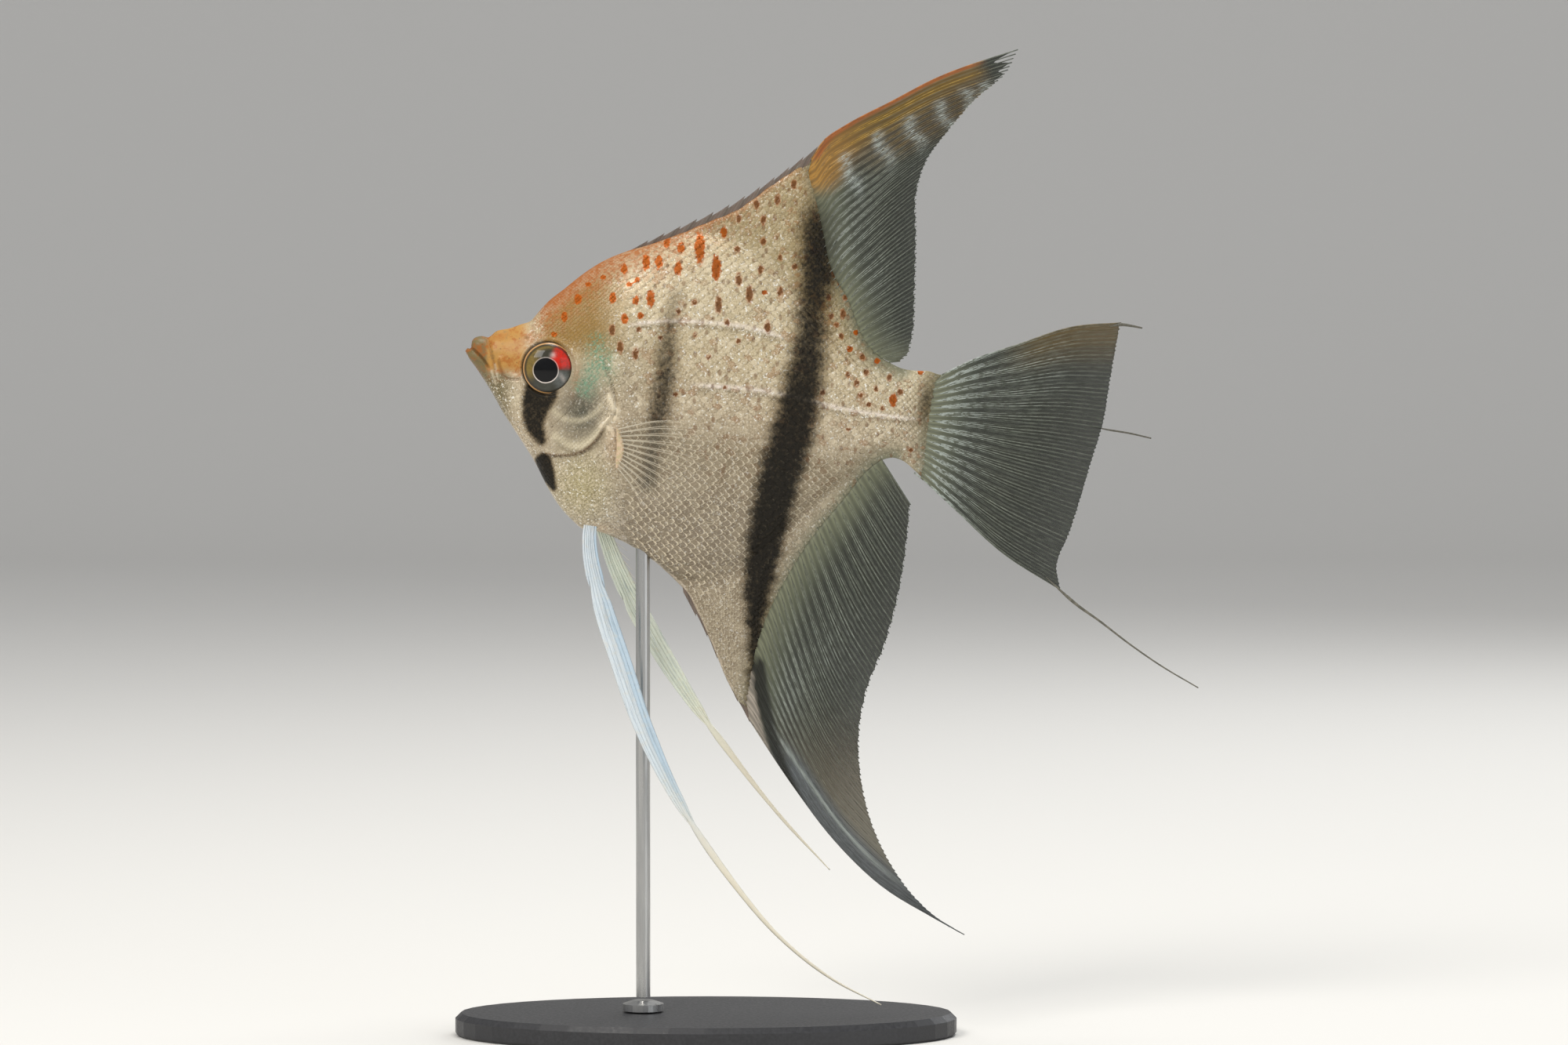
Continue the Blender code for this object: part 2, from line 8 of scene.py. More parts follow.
import collections
import functools
import math
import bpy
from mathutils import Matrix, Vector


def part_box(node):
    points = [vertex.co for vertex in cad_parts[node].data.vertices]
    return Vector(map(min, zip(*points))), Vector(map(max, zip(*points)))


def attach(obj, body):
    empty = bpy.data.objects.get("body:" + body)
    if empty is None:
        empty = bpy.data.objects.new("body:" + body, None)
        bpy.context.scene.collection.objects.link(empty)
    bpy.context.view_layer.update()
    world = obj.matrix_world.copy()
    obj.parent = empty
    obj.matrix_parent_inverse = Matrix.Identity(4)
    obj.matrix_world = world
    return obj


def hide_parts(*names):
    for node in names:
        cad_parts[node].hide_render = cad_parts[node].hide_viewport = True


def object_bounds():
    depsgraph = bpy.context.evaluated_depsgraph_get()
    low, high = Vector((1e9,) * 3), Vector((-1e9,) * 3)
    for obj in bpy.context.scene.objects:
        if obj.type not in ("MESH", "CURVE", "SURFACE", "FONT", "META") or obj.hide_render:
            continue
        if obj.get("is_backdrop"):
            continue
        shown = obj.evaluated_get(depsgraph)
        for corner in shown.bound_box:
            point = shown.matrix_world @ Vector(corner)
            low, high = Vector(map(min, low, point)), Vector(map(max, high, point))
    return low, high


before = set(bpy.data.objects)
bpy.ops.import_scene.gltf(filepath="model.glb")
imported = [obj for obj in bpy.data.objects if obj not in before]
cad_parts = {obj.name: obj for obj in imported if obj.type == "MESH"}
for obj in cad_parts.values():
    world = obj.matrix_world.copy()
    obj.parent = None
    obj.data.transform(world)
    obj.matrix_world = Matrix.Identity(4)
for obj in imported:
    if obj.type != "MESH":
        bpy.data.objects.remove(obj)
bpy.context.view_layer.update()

import types

import bmesh
import bpy
import numpy as np
from bpy.props import FloatProperty, FloatVectorProperty, PointerProperty
from mathutils import Vector

bl_info = {
    "name": "Angelfish Display Model",
    "version": (1, 0, 0),
    "blender": (4, 5, 0),
    "location": "3D View > Sidebar > Angelfish",
    "description": "Skin, scales, fins, eyes, stand and studio of a life-size angelfish model",
    "category": "Object",
}

MM = 0.001

# ---- The fish's outlines, as its solids have them ---------------------------------------

CROWN = (
    (0.0, 0.15), (0.5, 0.8), (0.95, 0.9), (1.15, 1.7), (1.7, 2.4), (2.7, 2.75), (4.1, 2.6),
    (5.4, 3.6), (7.7, 4.1), (9.7, 4.8), (11.4, 5.4), (12.4, 6.5), (14.5, 8.8), (17.3, 11.0),
    (20.7, 13.7), (24.2, 15.9), (28.3, 17.6), (32.4, 18.8), (36.5, 20.3), (42.0, 22.6),
    (47.5, 24.9), (53.0, 28.8), (58.5, 32.4), (60.6, 33.6),
)
DORSAL_SEAM = (
    (60.6, 33.6), (61.4, 29.6), (62.3, 25.8), (63.3, 20.3), (64.1, 15.8), (65.4, 12.6),
    (67.0, 9.8), (68.7, 5.2), (70.2, 1.8), (72.2, -0.6), (74.2, -1.9), (76.3, -2.9),
    (79.0, -3.3), (83.3, -3.2),
)
BREAST = (
    (0.0, -0.15), (0.8, -1.6), (1.9, -3.1), (3.2, -5.1), (4.7, -7.5), (6.4, -10.6),
    (8.4, -13.7), (10.4, -16.8), (12.2, -19.7), (14.1, -23.5), (15.4, -25.8), (16.9, -27.9),
    (18.7, -29.8), (20.2, -31.1), (23.5, -31.8), (27.6, -33.5), (33.8, -37.6), (36.5, -40.1),
    (38.6, -42.3), (40.6, -46.0), (43.6, -52.7), (46.0, -58.4), (48.2, -62.3), (49.6, -64.4),
)
ANAL_SEAM = (
    (49.6, -64.4), (50.2, -60.5), (50.9, -56.0), (51.9, -51.5), (53.4, -47.0), (55.7, -42.1),
    (60.5, -33.9), (66.7, -26.0), (70.8, -20.9), (72.9, -19.2), (74.9, -18.8), (76.6, -19.4),
    (78.4, -20.9), (80.4, -22.8),
)
TAIL_SEAM = ((80.4, -22.8), (80.7, -18.8), (81.2, -14.4), (82.0, -9.6), (83.3, -4.2))
BODY_TOP = (
    (28.3, 17.6), (34.0, 19.6), (40.0, 20.6), (44.0, 20.2), (48.3, 18.4), (55.3, 13.2),
    (61.0, 7.0), (66.0, 1.0), (70.0, -1.6), (76.0, -3.0), (83.3, -3.2),
)
BODY_UNDER = (
    (33.8, -37.6), (38.0, -39.8), (42.0, -40.2), (47.0, -38.2), (54.0, -33.0),
    (60.0, -27.5), (66.0, -22.5), (72.9, -19.4), (76.6, -19.5), (80.4, -22.8),
)
HALF_WIDTH = (
    (0.0, 0.9), (1.0, 1.7), (3.0, 2.4), (6.0, 3.2), (10.0, 4.2), (14.7, 5.1), (20.0, 6.1),
    (26.0, 6.9), (32.0, 7.2), (42.0, 6.9), (52.0, 6.0), (62.0, 4.5), (70.0, 3.2),
    (76.0, 2.4), (80.0, 1.6), (83.3, 0.5),
)
EDGE_HALF, EDGE_GAIN, EDGE_MOST = 0.4, 0.07, 1.3

EYE_U, EYE_Y, EYE_W = 14.7, 3.9, -2.9
EYE_RADIUS, EYE_DEPTH = 4.7, 2.5
AXIS_SLOPE = -0.157  # the body's own axis, nose up, in the side view
COAT_DEPTH = 0.14  # how far the skin lies inside the solids
EDGE_ROUND = 0.6  # rounding of the flesh at its outline
TAIL_ROOT = 83.3  # where the flesh ends
HEAD_LONG = 30.0  # the head's folds end before this u

# ---- Fins and spines ----------------------------------------------------------------------

DORSAL_FIN = {
    "base": DORSAL_SEAM[:11], "sway": 1.6, "rays": 27,
    "edge": (
        (96.5, 52.6), (94.9, 49.2), (89.1, 43.9), (84.5, 38.6), (80.6, 33.2), (79.0, 28.0),
        (78.9, 20.0), (78.7, 10.0), (78.2, 2.4), (77.2, -0.8), (76.0, -1.8),
    ),
    "lead": (
        (61.5, 34.0), (63.6, 37.2), (67.1, 39.6), (74.9, 43.7), (83.2, 48.0), (91.4, 51.0),
        (96.5, 52.6),
    ),
    "trail": ((74.4, -1.6), (76.0, -1.8)),
}
ANAL_FIN = {
    "base": ANAL_SEAM[:10], "sway": -2.0, "rays": 29, "lead_pull": 1.5,
    "edge": (
        (87.3, -102.2), (83.2, -99.8), (78.4, -95.4), (74.4, -89.8), (71.0, -82.4),
        (69.2, -74.6), (68.9, -66.6), (70.1, -59.8), (73.6, -50.8), (76.0, -41.4),
        (77.2, -33.2), (77.8, -26.8),
    ),
    "lead": (
        (50.6, -65.2), (53.2, -69.4), (58.5, -77.4), (65.3, -86.4), (73.6, -94.3),
        (81.8, -99.2), (87.3, -102.2),
    ),
    "trail": ((73.2, -19.8), (77.8, -26.8)),
}
TAIL_FIN = {
    "base": TAIL_SEAM[::-1], "sway": 1.4, "rays": 17,
    "edge": (
        (114.6, 4.9), (113.7, 0.2), (112.8, -5.4), (111.6, -12.4), (108.9, -21.6),
        (105.8, -31.8), (103.5, -37.8), (104.2, -41.9),
    ),
    "lead": ((83.7, -3.9), (88.6, -1.5), (96.9, 1.3), (106.5, 4.3), (114.6, 4.9)),
    "trail": ((80.8, -23.0), (85.9, -27.8), (94.1, -35.4), (104.2, -41.9)),
}
PECTORAL_FIN = {
    "base": ((26.9, -13.4), (27.4, -16.8), (26.8, -20.2)), "sway": 3.4, "rays": 12,
    "edge": (
        (41.2, -12.2), (44.6, -15.2), (44.9, -19.4), (42.4, -23.8), (37.0, -26.8),
        (31.4, -27.4),
    ),
    "lead": ((26.9, -13.4), (33.4, -12.0), (41.2, -12.2)),
    "trail": ((26.8, -20.2), (29.4, -23.6), (31.4, -27.4)),
}
PECTORAL_ROOT = 7.7
SPINE_TIP = 0.74  # how far out in the spiny margin the spines end
DORSAL_SPINES = {
    "base": ((27.0, 15.6), (36.0, 18.8), (45.0, 22.0), (53.0, 26.6), (59.2, 31.0)),
    "edge": ((30.0, 18.9), (38.6, 22.8), (47.2, 26.7), (53.4, 30.5), (58.6, 34.1), (62.2, 36.7)),
    "sway": 0.0, "rays": 12,
}
ANAL_SPINES = {
    "base": ((37.6, -39.4), (40.6, -44.0), (44.0, -51.0), (47.0, -57.6), (49.0, -61.4)),
    "edge": ((38.4, -44.0), (42.0, -50.3), (44.2, -55.0), (46.8, -60.7), (50.0, -66.2)),
    "sway": 0.0, "rays": 7,
}
PELVIC_LEFT = (
    (21.7, -2.2, -32.4), (21.9, -2.5, -35.6), (22.8, -3.2, -40.0), (24.2, -3.9, -45.0),
    (27.2, -4.8, -54.0), (31.0, -5.6, -65.0), (36.9, -6.3, -77.6), (45.8, -6.8, -91.2),
    (55.8, -7.0, -102.9), (64.0, -6.6, -109.4), (72.7, -6.0, -114.1),
)
PELVIC_RIGHT = (
    (24.7, 2.2, -33.4), (26.0, 2.8, -37.0), (28.0, 3.4, -41.6), (30.2, 4.0, -46.0),
    (34.0, 4.9, -52.8), (39.6, 5.8, -61.8), (46.4, 6.6, -71.2), (54.9, 7.2, -82.0),
    (63.8, 7.4, -91.7),
)
PELVIC_WIDTHS = (2.2, 3.0, 3.6, 3.6, 3.1, 2.1, 1.4, 1.0, 0.7, 0.6, 0.5)
TAIL_STREAMER = (
    (101.6, 0.9, -39.6), (104.4, 0.8, -42.2), (107.2, 0.4, -44.6), (110.6, 0.0, -47.0),
    (116.1, -0.6, -51.2), (121.6, -1.1, -55.0), (128.2, -1.5, -58.9),
)
TAIL_POINT = ((112.6, 1.3, 4.2), (114.6, 1.4, 4.6), (116.4, 1.4, 4.4), (118.4, 1.4, 4.0))
TAIL_THREAD = ((109.4, 1.3, -13.2), (112.4, 1.4, -13.8), (116.1, 1.4, -14.4), (120.0, 1.4, -15.3))

# ---- Markings -----------------------------------------------------------------------------

BAR_FRONT = (  # the main bar's front edge as (w, u), top to bottom
    (30.0, 60.4), (24.4, 58.5), (13.4, 58.5), (2.5, 57.4), (-8.5, 54.8), (-19.5, 51.6),
    (-30.5, 49.5), (-41.4, 48.6), (-52.4, 49.5), (-64.4, 49.4),
)
BAR_BACK = (
    (30.0, 61.8), (24.4, 64.0), (18.9, 65.0), (13.4, 64.8), (8.0, 63.4), (-3.0, 62.8), (-14.0, 61.2),
    (-25.0, 57.8), (-36.0, 55.0), (-46.9, 52.3), (-57.9, 51.6), (-64.4, 51.2),
)
SHOULDER_BAR = ((36.9, 9.6), (36.2, 6.6), (35.1, -3.0), (33.9, -11.3), (32.9, -16.7), (32.0, -22.6))
EYE_PATCH = ((13.3, -7.2), (12.4, -9.8), (12.2, -12.6), (13.3, -15.4))
EYE_PATCH_HALF = (3.0, 2.4, 1.8, 1.0)
THROAT_PATCH = ((13.7, -19.2), (14.3, -21.2), (15.4, -23.8))
THROAT_PATCH_HALF = (1.5, 1.4, 0.6)
ANAL_BAR = ((51.0, -55.0), (51.9, -60.6), (53.6, -67.5), (55.4, -72.6), (58.8, -78.6))
ANAL_BAR_HALF = (1.4, 1.3, 1.1, 0.8, 0.3)
SIDE_LINE_HIGH = ((27.6, 4.5), (35.0, 5.3), (42.4, 5.1), (50.1, 4.1), (57.0, 2.0))
SIDE_LINE_LOW = ((37.9, -5.5), (53.7, -7.1), (64.3, -9.6), (72.0, -11.0), (80.6, -12.1))
ORANGE_DASHES = (  # (u, w, half-height)
    (17.4, 6.0, 1.0), (15.6, 3.0, 0.5), (19.8, 9.1, 1.0), (21.5, 11.7, 0.5), (24.2, 12.9, 0.5),
    (25.9, 9.3, 1.1), (27.9, 14.4, 1.1), (28.7, 11.7, 0.6), (30.2, 12.5, 0.6), (29.9, 8.9, 1.0),
    (31.7, 15.5, 1.65), (33.9, 15.5, 1.5), (32.5, 9.3, 1.8), (30.7, 6.3, 0.7), (28.0, 5.8, 1.1),
    (35.3, 18.8, 1.0), (37.7, 18.0, 1.2), (37.3, 14.4, 1.5), (41.0, 18.0, 3.1),
    (45.2, 20.7, 1.2), (43.9, 14.6, 2.7), (52.4, 10.2, 0.6), (68.2, 3.2, 0.6),
    (67.2, 0.4, 0.7), (72.0, -1.7, 0.6), (74.7, -8.5, 1.4), (79.6, -3.7, 0.6),
)
BROWN_FLECKS = (
    (25.8, 3.8, 1.0), (27.2, 0.8, 1.2), (29.9, -0.3, 1.2), (30.5, 3.8, 0.5), (47.5, 17.8, 0.7),
    (47.8, 12.5, 1.4), (49.7, 9.9, 1.65), (55.0, 10.4, 0.9), (51.6, 14.3, 0.9),
    (52.1, 22.9, 0.9), (52.1, 19.1, 0.7), (47.8, 23.1, 0.8), (50.9, 25.7, 0.8),
    (54.6, 26.4, 1.0), (57.4, 29.1, 0.9), (55.0, 16.3, 0.6), (57.6, 14.7, 0.6),
    (44.3, 8.2, 1.6), (40.1, 8.5, 0.6), (37.3, 7.0, 0.6), (45.8, 5.1, 0.7), (52.8, 4.3, 1.1),
    (47.8, 1.8, 0.6), (63.5, 9.3, 0.6), (66.0, 6.5, 0.9), (64.8, 4.5, 0.5), (69.4, -1.0, 0.7),
    (70.0, -3.7, 0.7), (71.8, -6.5, 0.6), (69.0, -7.6, 0.5), (74.1, -4.7, 0.7),
    (76.0, -7.1, 0.6), (64.4, 13.5, 0.6), (65.5, 11.7, 0.5), (66.4, 9.3, 0.5), (69.2, 4.3, 0.6),
    (68.4, -5.5, 0.8), (70.5, -9.3, 0.5), (72.9, -9.9, 0.5), (66.8, -4.1, 0.6), (62.4, -7.1, 0.6),
    (63.9, 6.0, 0.6), (65.7, 2.6, 0.6), (66.9, -13.6, 0.4), (77.9, -17.3, 0.4), (60.9, 17.4, 0.6),
    (34.2, 2.4, 0.5), (40.3, 3.0, 0.5), (42.6, -0.9, 0.5), (36.8, -7.4, 0.4), (45.5, -6.2, 0.4),
)
FLECK_HALF = 0.68
SIDE_LINE_PALE = (0.96, 0.86, 0.78)

# ---- Folds of the head --------------------------------------------------------------------

MOUTH = ((0.2, 0.75), (1.2, 0.5), (2.4, -0.5), (3.6, -1.9), (4.4, -3.2))
LIP_FOLD_HIGH = ((3.9, 2.7), (4.1, 1.4), (4.5, 0.1), (5.0, -1.6), (5.4, -3.6))
LIP_FOLD_LOW = ((1.5, -1.6), (2.6, -1.9), (3.6, -3.0), (4.4, -4.6), (4.7, -6.4))
JAW_HINGE = ((4.9, -3.6), (5.6, -5.2), (6.3, -7.4), (6.9, -9.4))
CHEEK_FOLD = ((5.8, -1.25), (6.3, -3.0), (6.9, -4.4), (8.7, -4.9), (10.2, -4.7))
CHEEK_PLATE = ((13.4, -9.7), (15.3, -13.1), (13.9, -16.6))
REAR_PLATE = ((21.2, -1.0), (20.2, -7.0), (16.6, -12.0), (12.8, -15.0))
GILL_EDGE = (
    (12.7, -17.6), (16.3, -18.1), (20.3, -17.5), (22.9, -15.4), (24.6, -12.8), (26.2, -10.6),
    (26.3, -8.6), (25.6, -5.6), (24.4, -2.2), (24.0, 1.2),
)
THROAT_FOLD = ((8.6, -12.6), (10.4, -15.2), (12.3, -17.6))
CHIN_FOLD = ((5.4, -8.2), (7.4, -11.2), (9.6, -14.2))
DISC_EDGE = ((15.0, -13.8), (17.2, -16.0), (20.2, -16.4), (22.8, -14.8), (24.6, -12.4))
PLATE_GLEAM = ((14.8, -9.6), (17.4, -11.6), (20.4, -11.9), (22.8, -10.6), (24.8, -8.4))
SHEEN_LINE = ((23.6, 4.0), (23.2, 0.6), (22.8, -2.4), (21.4, -5.4), (19.6, -8.0))
NOSTRIL = (10.8, 2.3)
MAXILLA_STREAKS = (((5.2, -1.9), (5.5, -3.4), (5.9, -5.2)), ((4.6, -3.0), (5.0, -4.4), (5.5, -6.0)))
BONE_RIDGES = (  # the pale bony ends at the gill cover's rear corner
    ((25.0, -7.2), (25.8, -9.2), (26.8, -11.0)), ((23.6, -13.4), (25.0, -12.0), (27.0, -11.2)),
    ((24.6, -12.6), (25.6, -13.6), (26.4, -14.8)),
)

# ---- Settings -----------------------------------------------------------------------------


def shade(red, green, blue):
    """A colour from the usual 0 to 255 steps, as linear light."""
    steps = np.array((red, green, blue)) / 255
    return tuple(np.where(steps <= 0.04045, steps / 12.92, ((steps + 0.055) / 1.055) ** 2.4).tolist())


def colour(name, description, red, green, blue):
    return FloatVectorProperty(
        name=name, description=description, subtype="COLOR", size=3, min=0.0, max=1.0,
        default=shade(red, green, blue),
    )


def length(name, description, millimetres, most):
    return FloatProperty(
        name=name, description=description, default=millimetres * MM, min=0.0, max=most * MM,
        unit="LENGTH", subtype="DISTANCE", precision=5,
    )


class FleshPaint(bpy.types.PropertyGroup):
    """Colours of the skin and scales."""

    flank: colour("Flank", "Silvery beige of the sides", 184, 168, 142)
    upper_flank: colour("Upper flank", "Warmer silver above the side line", 200, 184, 148)
    belly: colour("Belly", "Grey beige of the lower body", 170, 159, 146)
    fin_base: colour("Fin base", "Scaled bases of the tall fins", 160, 147, 112)
    crown: colour("Crown", "Orange brown along forehead and back", 160, 86, 18)
    snout: colour("Snout", "Ochre of the snout", 182, 134, 64)
    lip: colour("Lip", "Olive tan of the lower jaw", 108, 98, 66)
    chest: colour("Chest", "Yellowish chest", 182, 170, 126)
    cheek: colour("Cheek", "Grey silver of the cheek", 66, 68, 57)
    # silver is also laid as painted highlights on the cheek disc
    silver: colour("Silver", "Palest silver of gill edge and tail root", 214, 202, 172)
    sheen: colour("Sheen", "Green glint on the gill cover", 108, 152, 124)
    blush: colour("Blush", "Pinkish tan at the pectoral fin", 212, 186, 156)
    bar: colour("Bar", "Dark bars and patches", 18, 15, 8)
    dash: colour("Dash", "Orange red dashes of the back", 168, 80, 0)
    fleck: colour("Fleck", "Small brown flecks", 104, 60, 14)
    # the rim colour is also laid as painted highlight: glitter specks and gleams on the flank
    rim: colour("Scale rim", "Pale free edge of a scale", 222, 208, 180)
    # grit is also laid as painted shade: a line inside the cheek disc's edge and under the side lines
    grit: colour("Grit", "Dark grain between the silver", 104, 90, 66)
    olive: colour("Olive", "Golden brown of the nape", 138, 102, 24)
    seam: colour("Seam", "Grey green where flesh turns into fin", 112, 114, 92)


class FinPaint(bpy.types.PropertyGroup):
    """Colours of the fins."""

    web: colour("Web", "Smoky green grey of the webs", 44, 47, 37)
    web_pale: colour("Pale web", "Webs near the flesh", 108, 116, 97)
    web_brown: colour("Brown web", "Webs towards the fin tips", 74, 58, 38)
    ray: colour("Ray", "Pale bony rays", 138, 143, 131)
    clear_ray: colour("Pectoral ray", "Whitish rays of the pectoral fins", 214, 204, 184)
    orange: colour("Orange", "Front edge of the dorsal fin", 172, 92, 44)
    olive: colour("Olive", "Golden olive behind the orange edge", 136, 104, 30)
    yellow: colour("Yellow", "Rays behind the orange edge", 190, 152, 58)
    blue: colour("Blue", "Blue grey of the anal fin's front", 100, 108, 118)
    band: colour("Band", "Bluish white bands and beads", 182, 190, 184)
    pelvic: colour("Pelvic", "Bluish white of the near pelvic fin", 212, 221, 226)
    pelvic_far: colour("Far pelvic", "Greenish grey of the far pelvic fin", 228, 233, 216)
    pelvic_rear: colour("Pelvic rear", "Light blue rear of the near pelvic fin", 186, 206, 220)
    filament: colour("Filament", "Pale tan of the trailing threads", 230, 222, 200)
    thread: colour("Thread", "Grey threads of the tail and the spine tips", 112, 108, 96)
    spine_web: colour("Spine web", "Violet grey margin along the spines", 116, 98, 88)


class EyePaint(bpy.types.PropertyGroup):
    """Colours of the eyes."""

    pupil: colour("Pupil", "Black pupil", 6, 6, 8)
    ring: colour("Ring", "White ring round the pupil", 216, 204, 196)
    smoke: colour("Smoke", "Dark ground of the iris", 52, 50, 38)
    gold: colour("Gold", "Yellow front of the iris", 170, 140, 66)
    red: colour("Red", "Red wedge behind and above the pupil", 204, 38, 24)
    slate: colour("Slate", "Grey blue lower rear of the iris", 104, 108, 106)
    rim: colour("Rim", "Thin golden rim", 196, 150, 98)


class CoatSizes(bpy.types.PropertyGroup):
    """Sizes of the scales."""

    pitch: length("Pitch", "Distance along a row of flank scales", 1.54, 4)
    row: length("Row", "Distance between rows of flank scales", 0.85, 3)
    lift: length("Lift", "Height of a scale's free edge over the skin", 0.08, 0.5)
    thick: length("Thickness", "Thickness of a scale", 0.05, 0.3)


class FinSizes(bpy.types.PropertyGroup):
    """Sizes of the fins' webs and rays."""

    web: length("Web", "Thickness of a fin's web", 0.12, 1)
    ray: length("Ray", "Radius of a ray's fibre at its root", 0.16, 1)
    dip: length("Dip", "How far the web dips between ray tips", 0.4, 4)


class StandPaint(bpy.types.PropertyGroup):
    """Colours of the stand."""

    base: colour("Base", "Powder-coated plate", 38, 38, 40)
    steel: colour("Steel", "Brushed rod and collar", 186, 186, 184)


class StudioSettings(bpy.types.PropertyGroup):
    """The studio round the model."""

    floor: colour("Floor", "Plain pale floor and backdrop", 226, 224, 219)
    key: FloatProperty(name="Key", description="Power of the main light", default=7.5, unit="POWER")
    fill: FloatProperty(name="Fill", description="Power of the fill light", default=2.6, unit="POWER")
    distance: FloatProperty(
        name="Distance", description="From the camera to the fish", default=1.2,
        unit="LENGTH", subtype="DISTANCE",
    )
    elevation: FloatProperty(
        name="Elevation", description="How far the camera looks down", default=math.radians(2.5),
        unit="ROTATION", subtype="ANGLE",
    )


class AngelfishSettings(bpy.types.PropertyGroup):
    """Everything that the operators read."""

    flesh: PointerProperty(type=FleshPaint)
    fins: PointerProperty(type=FinPaint)
    eyes: PointerProperty(type=EyePaint)
    coat: PointerProperty(type=CoatSizes)
    webs: PointerProperty(type=FinSizes)
    stand: PointerProperty(type=StandPaint)
    studio: PointerProperty(type=StudioSettings)


# ---- Places and curves --------------------------------------------------------------------

EYE_LOW, EYE_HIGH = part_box("eye_left")
SNOUT_X = (EYE_LOW.x + EYE_HIGH.x) / 2 / MM - EYE_U
SNOUT_Z = (EYE_LOW.z + EYE_HIGH.z) / 2 / MM - EYE_W


def at(points):
    """Points (u, y, w) in millimetres as metres in the frame."""
    return (np.asarray(points, float) + (SNOUT_X, 0, SNOUT_Z)) * MM


def smooth(points, count):
    """count points spread evenly along a smooth curve through the given ones."""
    p = np.array(points, float)
    span = np.linalg.norm(np.diff(p, axis=0), axis=1)
    slope = np.gradient(p, np.append(0, np.cumsum(span)), axis=0)
    t = np.linspace(0, 1, 12, endpoint=False)[:, None]
    runs = []
    for i, run in enumerate(span):
        a, b = p[i], p[i + 1]
        m, n = slope[i] * run, slope[i + 1] * run
        runs.append(a + m * t + (3 * (b - a) - 2 * m - n) * t**2 + (2 * (a - b) + m + n) * t**3)
    fine = np.vstack([*runs, p[-1:]])
    run = np.append(0, np.cumsum(np.linalg.norm(np.diff(fine, axis=0), axis=1)))
    wanted = np.linspace(0, run[-1], count)
    return np.column_stack([np.interp(wanted, run, column) for column in fine.T])


def height_of(*outlines):
    """The curve through outlines that run aft one after the other, as a function of u."""
    line = np.vstack([smooth(outline, 12 * len(outline)) for outline in outlines])
    order = np.argsort(line[:, 0], kind="stable")
    return lambda u: np.interp(u, line[order, 0], line[order, 1])


top = height_of(CROWN, DORSAL_SEAM)
under = height_of(BREAST, ANAL_SEAM, TAIL_SEAM)
body_top = height_of(CROWN[:17], BODY_TOP)
body_under = height_of(BREAST[:17], BODY_UNDER, TAIL_SEAM)
half_width = height_of(HALF_WIDTH)


def half_thickness(u, w):
    """Half the flesh's thickness: a lens-shaped body with thin fin bases round it."""
    high, low = body_top(u), body_under(u)
    place = np.clip((w - (high + low) / 2) / ((high - low) / 2), -1, 1)
    body = half_width(u) * (1 - np.abs(place) ** 2.4) ** 0.62
    inwards = np.minimum(top(u) - w, w - under(u)).clip(0)
    base = np.minimum(EDGE_HALF + EDGE_GAIN * inwards, EDGE_MOST)
    return np.hypot(body, base)


def ease(value, low, high):
    """0 below low, 1 above high, smooth between."""
    t = np.clip((value - low) / (high - low), 0, 1)
    return t * t * (3 - 2 * t)


def blob(u, w, middle, reach, turn=0.0):
    """A soft round or oval patch, 1 in the middle."""
    c, s = math.cos(math.radians(turn)), math.sin(math.radians(turn))
    du, dw = u - middle[0], w - middle[1]
    return np.exp(-(((du * c + dw * s) / reach[0]) ** 2) - (((dw * c - du * s) / reach[1]) ** 2))


def swell(value, half, middle=0.0):
    """1 where value is middle, fading over half to both sides."""
    return np.exp(-(((value - middle) / half) ** 2))


def to_line(u, w, line):
    """Distance to a smooth line, which side of it (left is plus), and the share along it."""
    path = smooth(line, 40)
    a, step = path[:-1], np.diff(path, axis=0)
    best = np.full(np.shape(u), 1e9)
    side, share = np.zeros_like(best), np.zeros_like(best)
    for i, (start, run) in enumerate(zip(a, step)):
        du, dw = u - start[0], w - start[1]
        k = np.clip((du * run[0] + dw * run[1]) / (run @ run), 0, 1)
        away = np.hypot(du - k * run[0], dw - k * run[1])
        nearer = away < best
        best = np.where(nearer, away, best)
        side = np.where(nearer, np.sign(run[0] * dw - run[1] * du), side)
        share = np.where(nearer, (i + k) / len(step), share)
    return best, side, share


def stroke(u, w, line, half):
    """A soft line, 1 along its middle, fading towards both ends."""
    away, _, share = to_line(u, w, line)
    return swell(away, half) * ease(share, 0, 0.12) * ease(1 - share, 0, 0.12)


# ---- The skin's surface -------------------------------------------------------------------

RING_STEPS = 160
FLANK_SPAN = (0.06, 83.22)  # the first and last ring's u
HEAD_RINGS, BODY_RINGS, STEEP_RINGS = 5.2, 1.9, 0.26  # to the millimetre, more where it is steep
SEAM_TAPER, TAIL_TAPER = 4.2, 6.5  # how far from fins and tail the flesh starts to thin
THINNEST = 0.1  # share of its thickness that the flesh keeps there
Flank = collections.namedtuple("Flank", "stations points normals start end")


def shifted(line, du, dw):
    """The same line, moved a little."""
    return [(u + du, w + dw) for u, w in line]


FOLDS = (  # (line, height, half-width) of the head's furrows, which are minus, and ridges
    (((0.6, -0.5), (2.0, -1.2), (3.2, -2.5), (4.0, -3.8)), 0.22, 0.5),
    (LIP_FOLD_HIGH, -0.26, 0.2), (LIP_FOLD_LOW, -0.18, 0.2),
    *((streak, 0.14, 0.2) for streak in MAXILLA_STREAKS),
    (JAW_HINGE, -0.16, 0.25),
    (CHEEK_FOLD, -0.3, 0.22), (shifted(CHEEK_FOLD, 0.4, 0.6), 0.2, 0.4),
    (CHEEK_PLATE, -0.24, 0.25), (shifted(CHEEK_PLATE, -0.6, 0.1), 0.18, 0.4),
    (REAR_PLATE, -0.26, 0.28), (shifted(REAR_PLATE, 0.6, -0.3), 0.16, 0.4),
    (THROAT_FOLD, -0.22, 0.25), (CHIN_FOLD, -0.14, 0.25),
    *((ridge, 0.36, 0.4) for ridge in BONE_RIDGES),
)


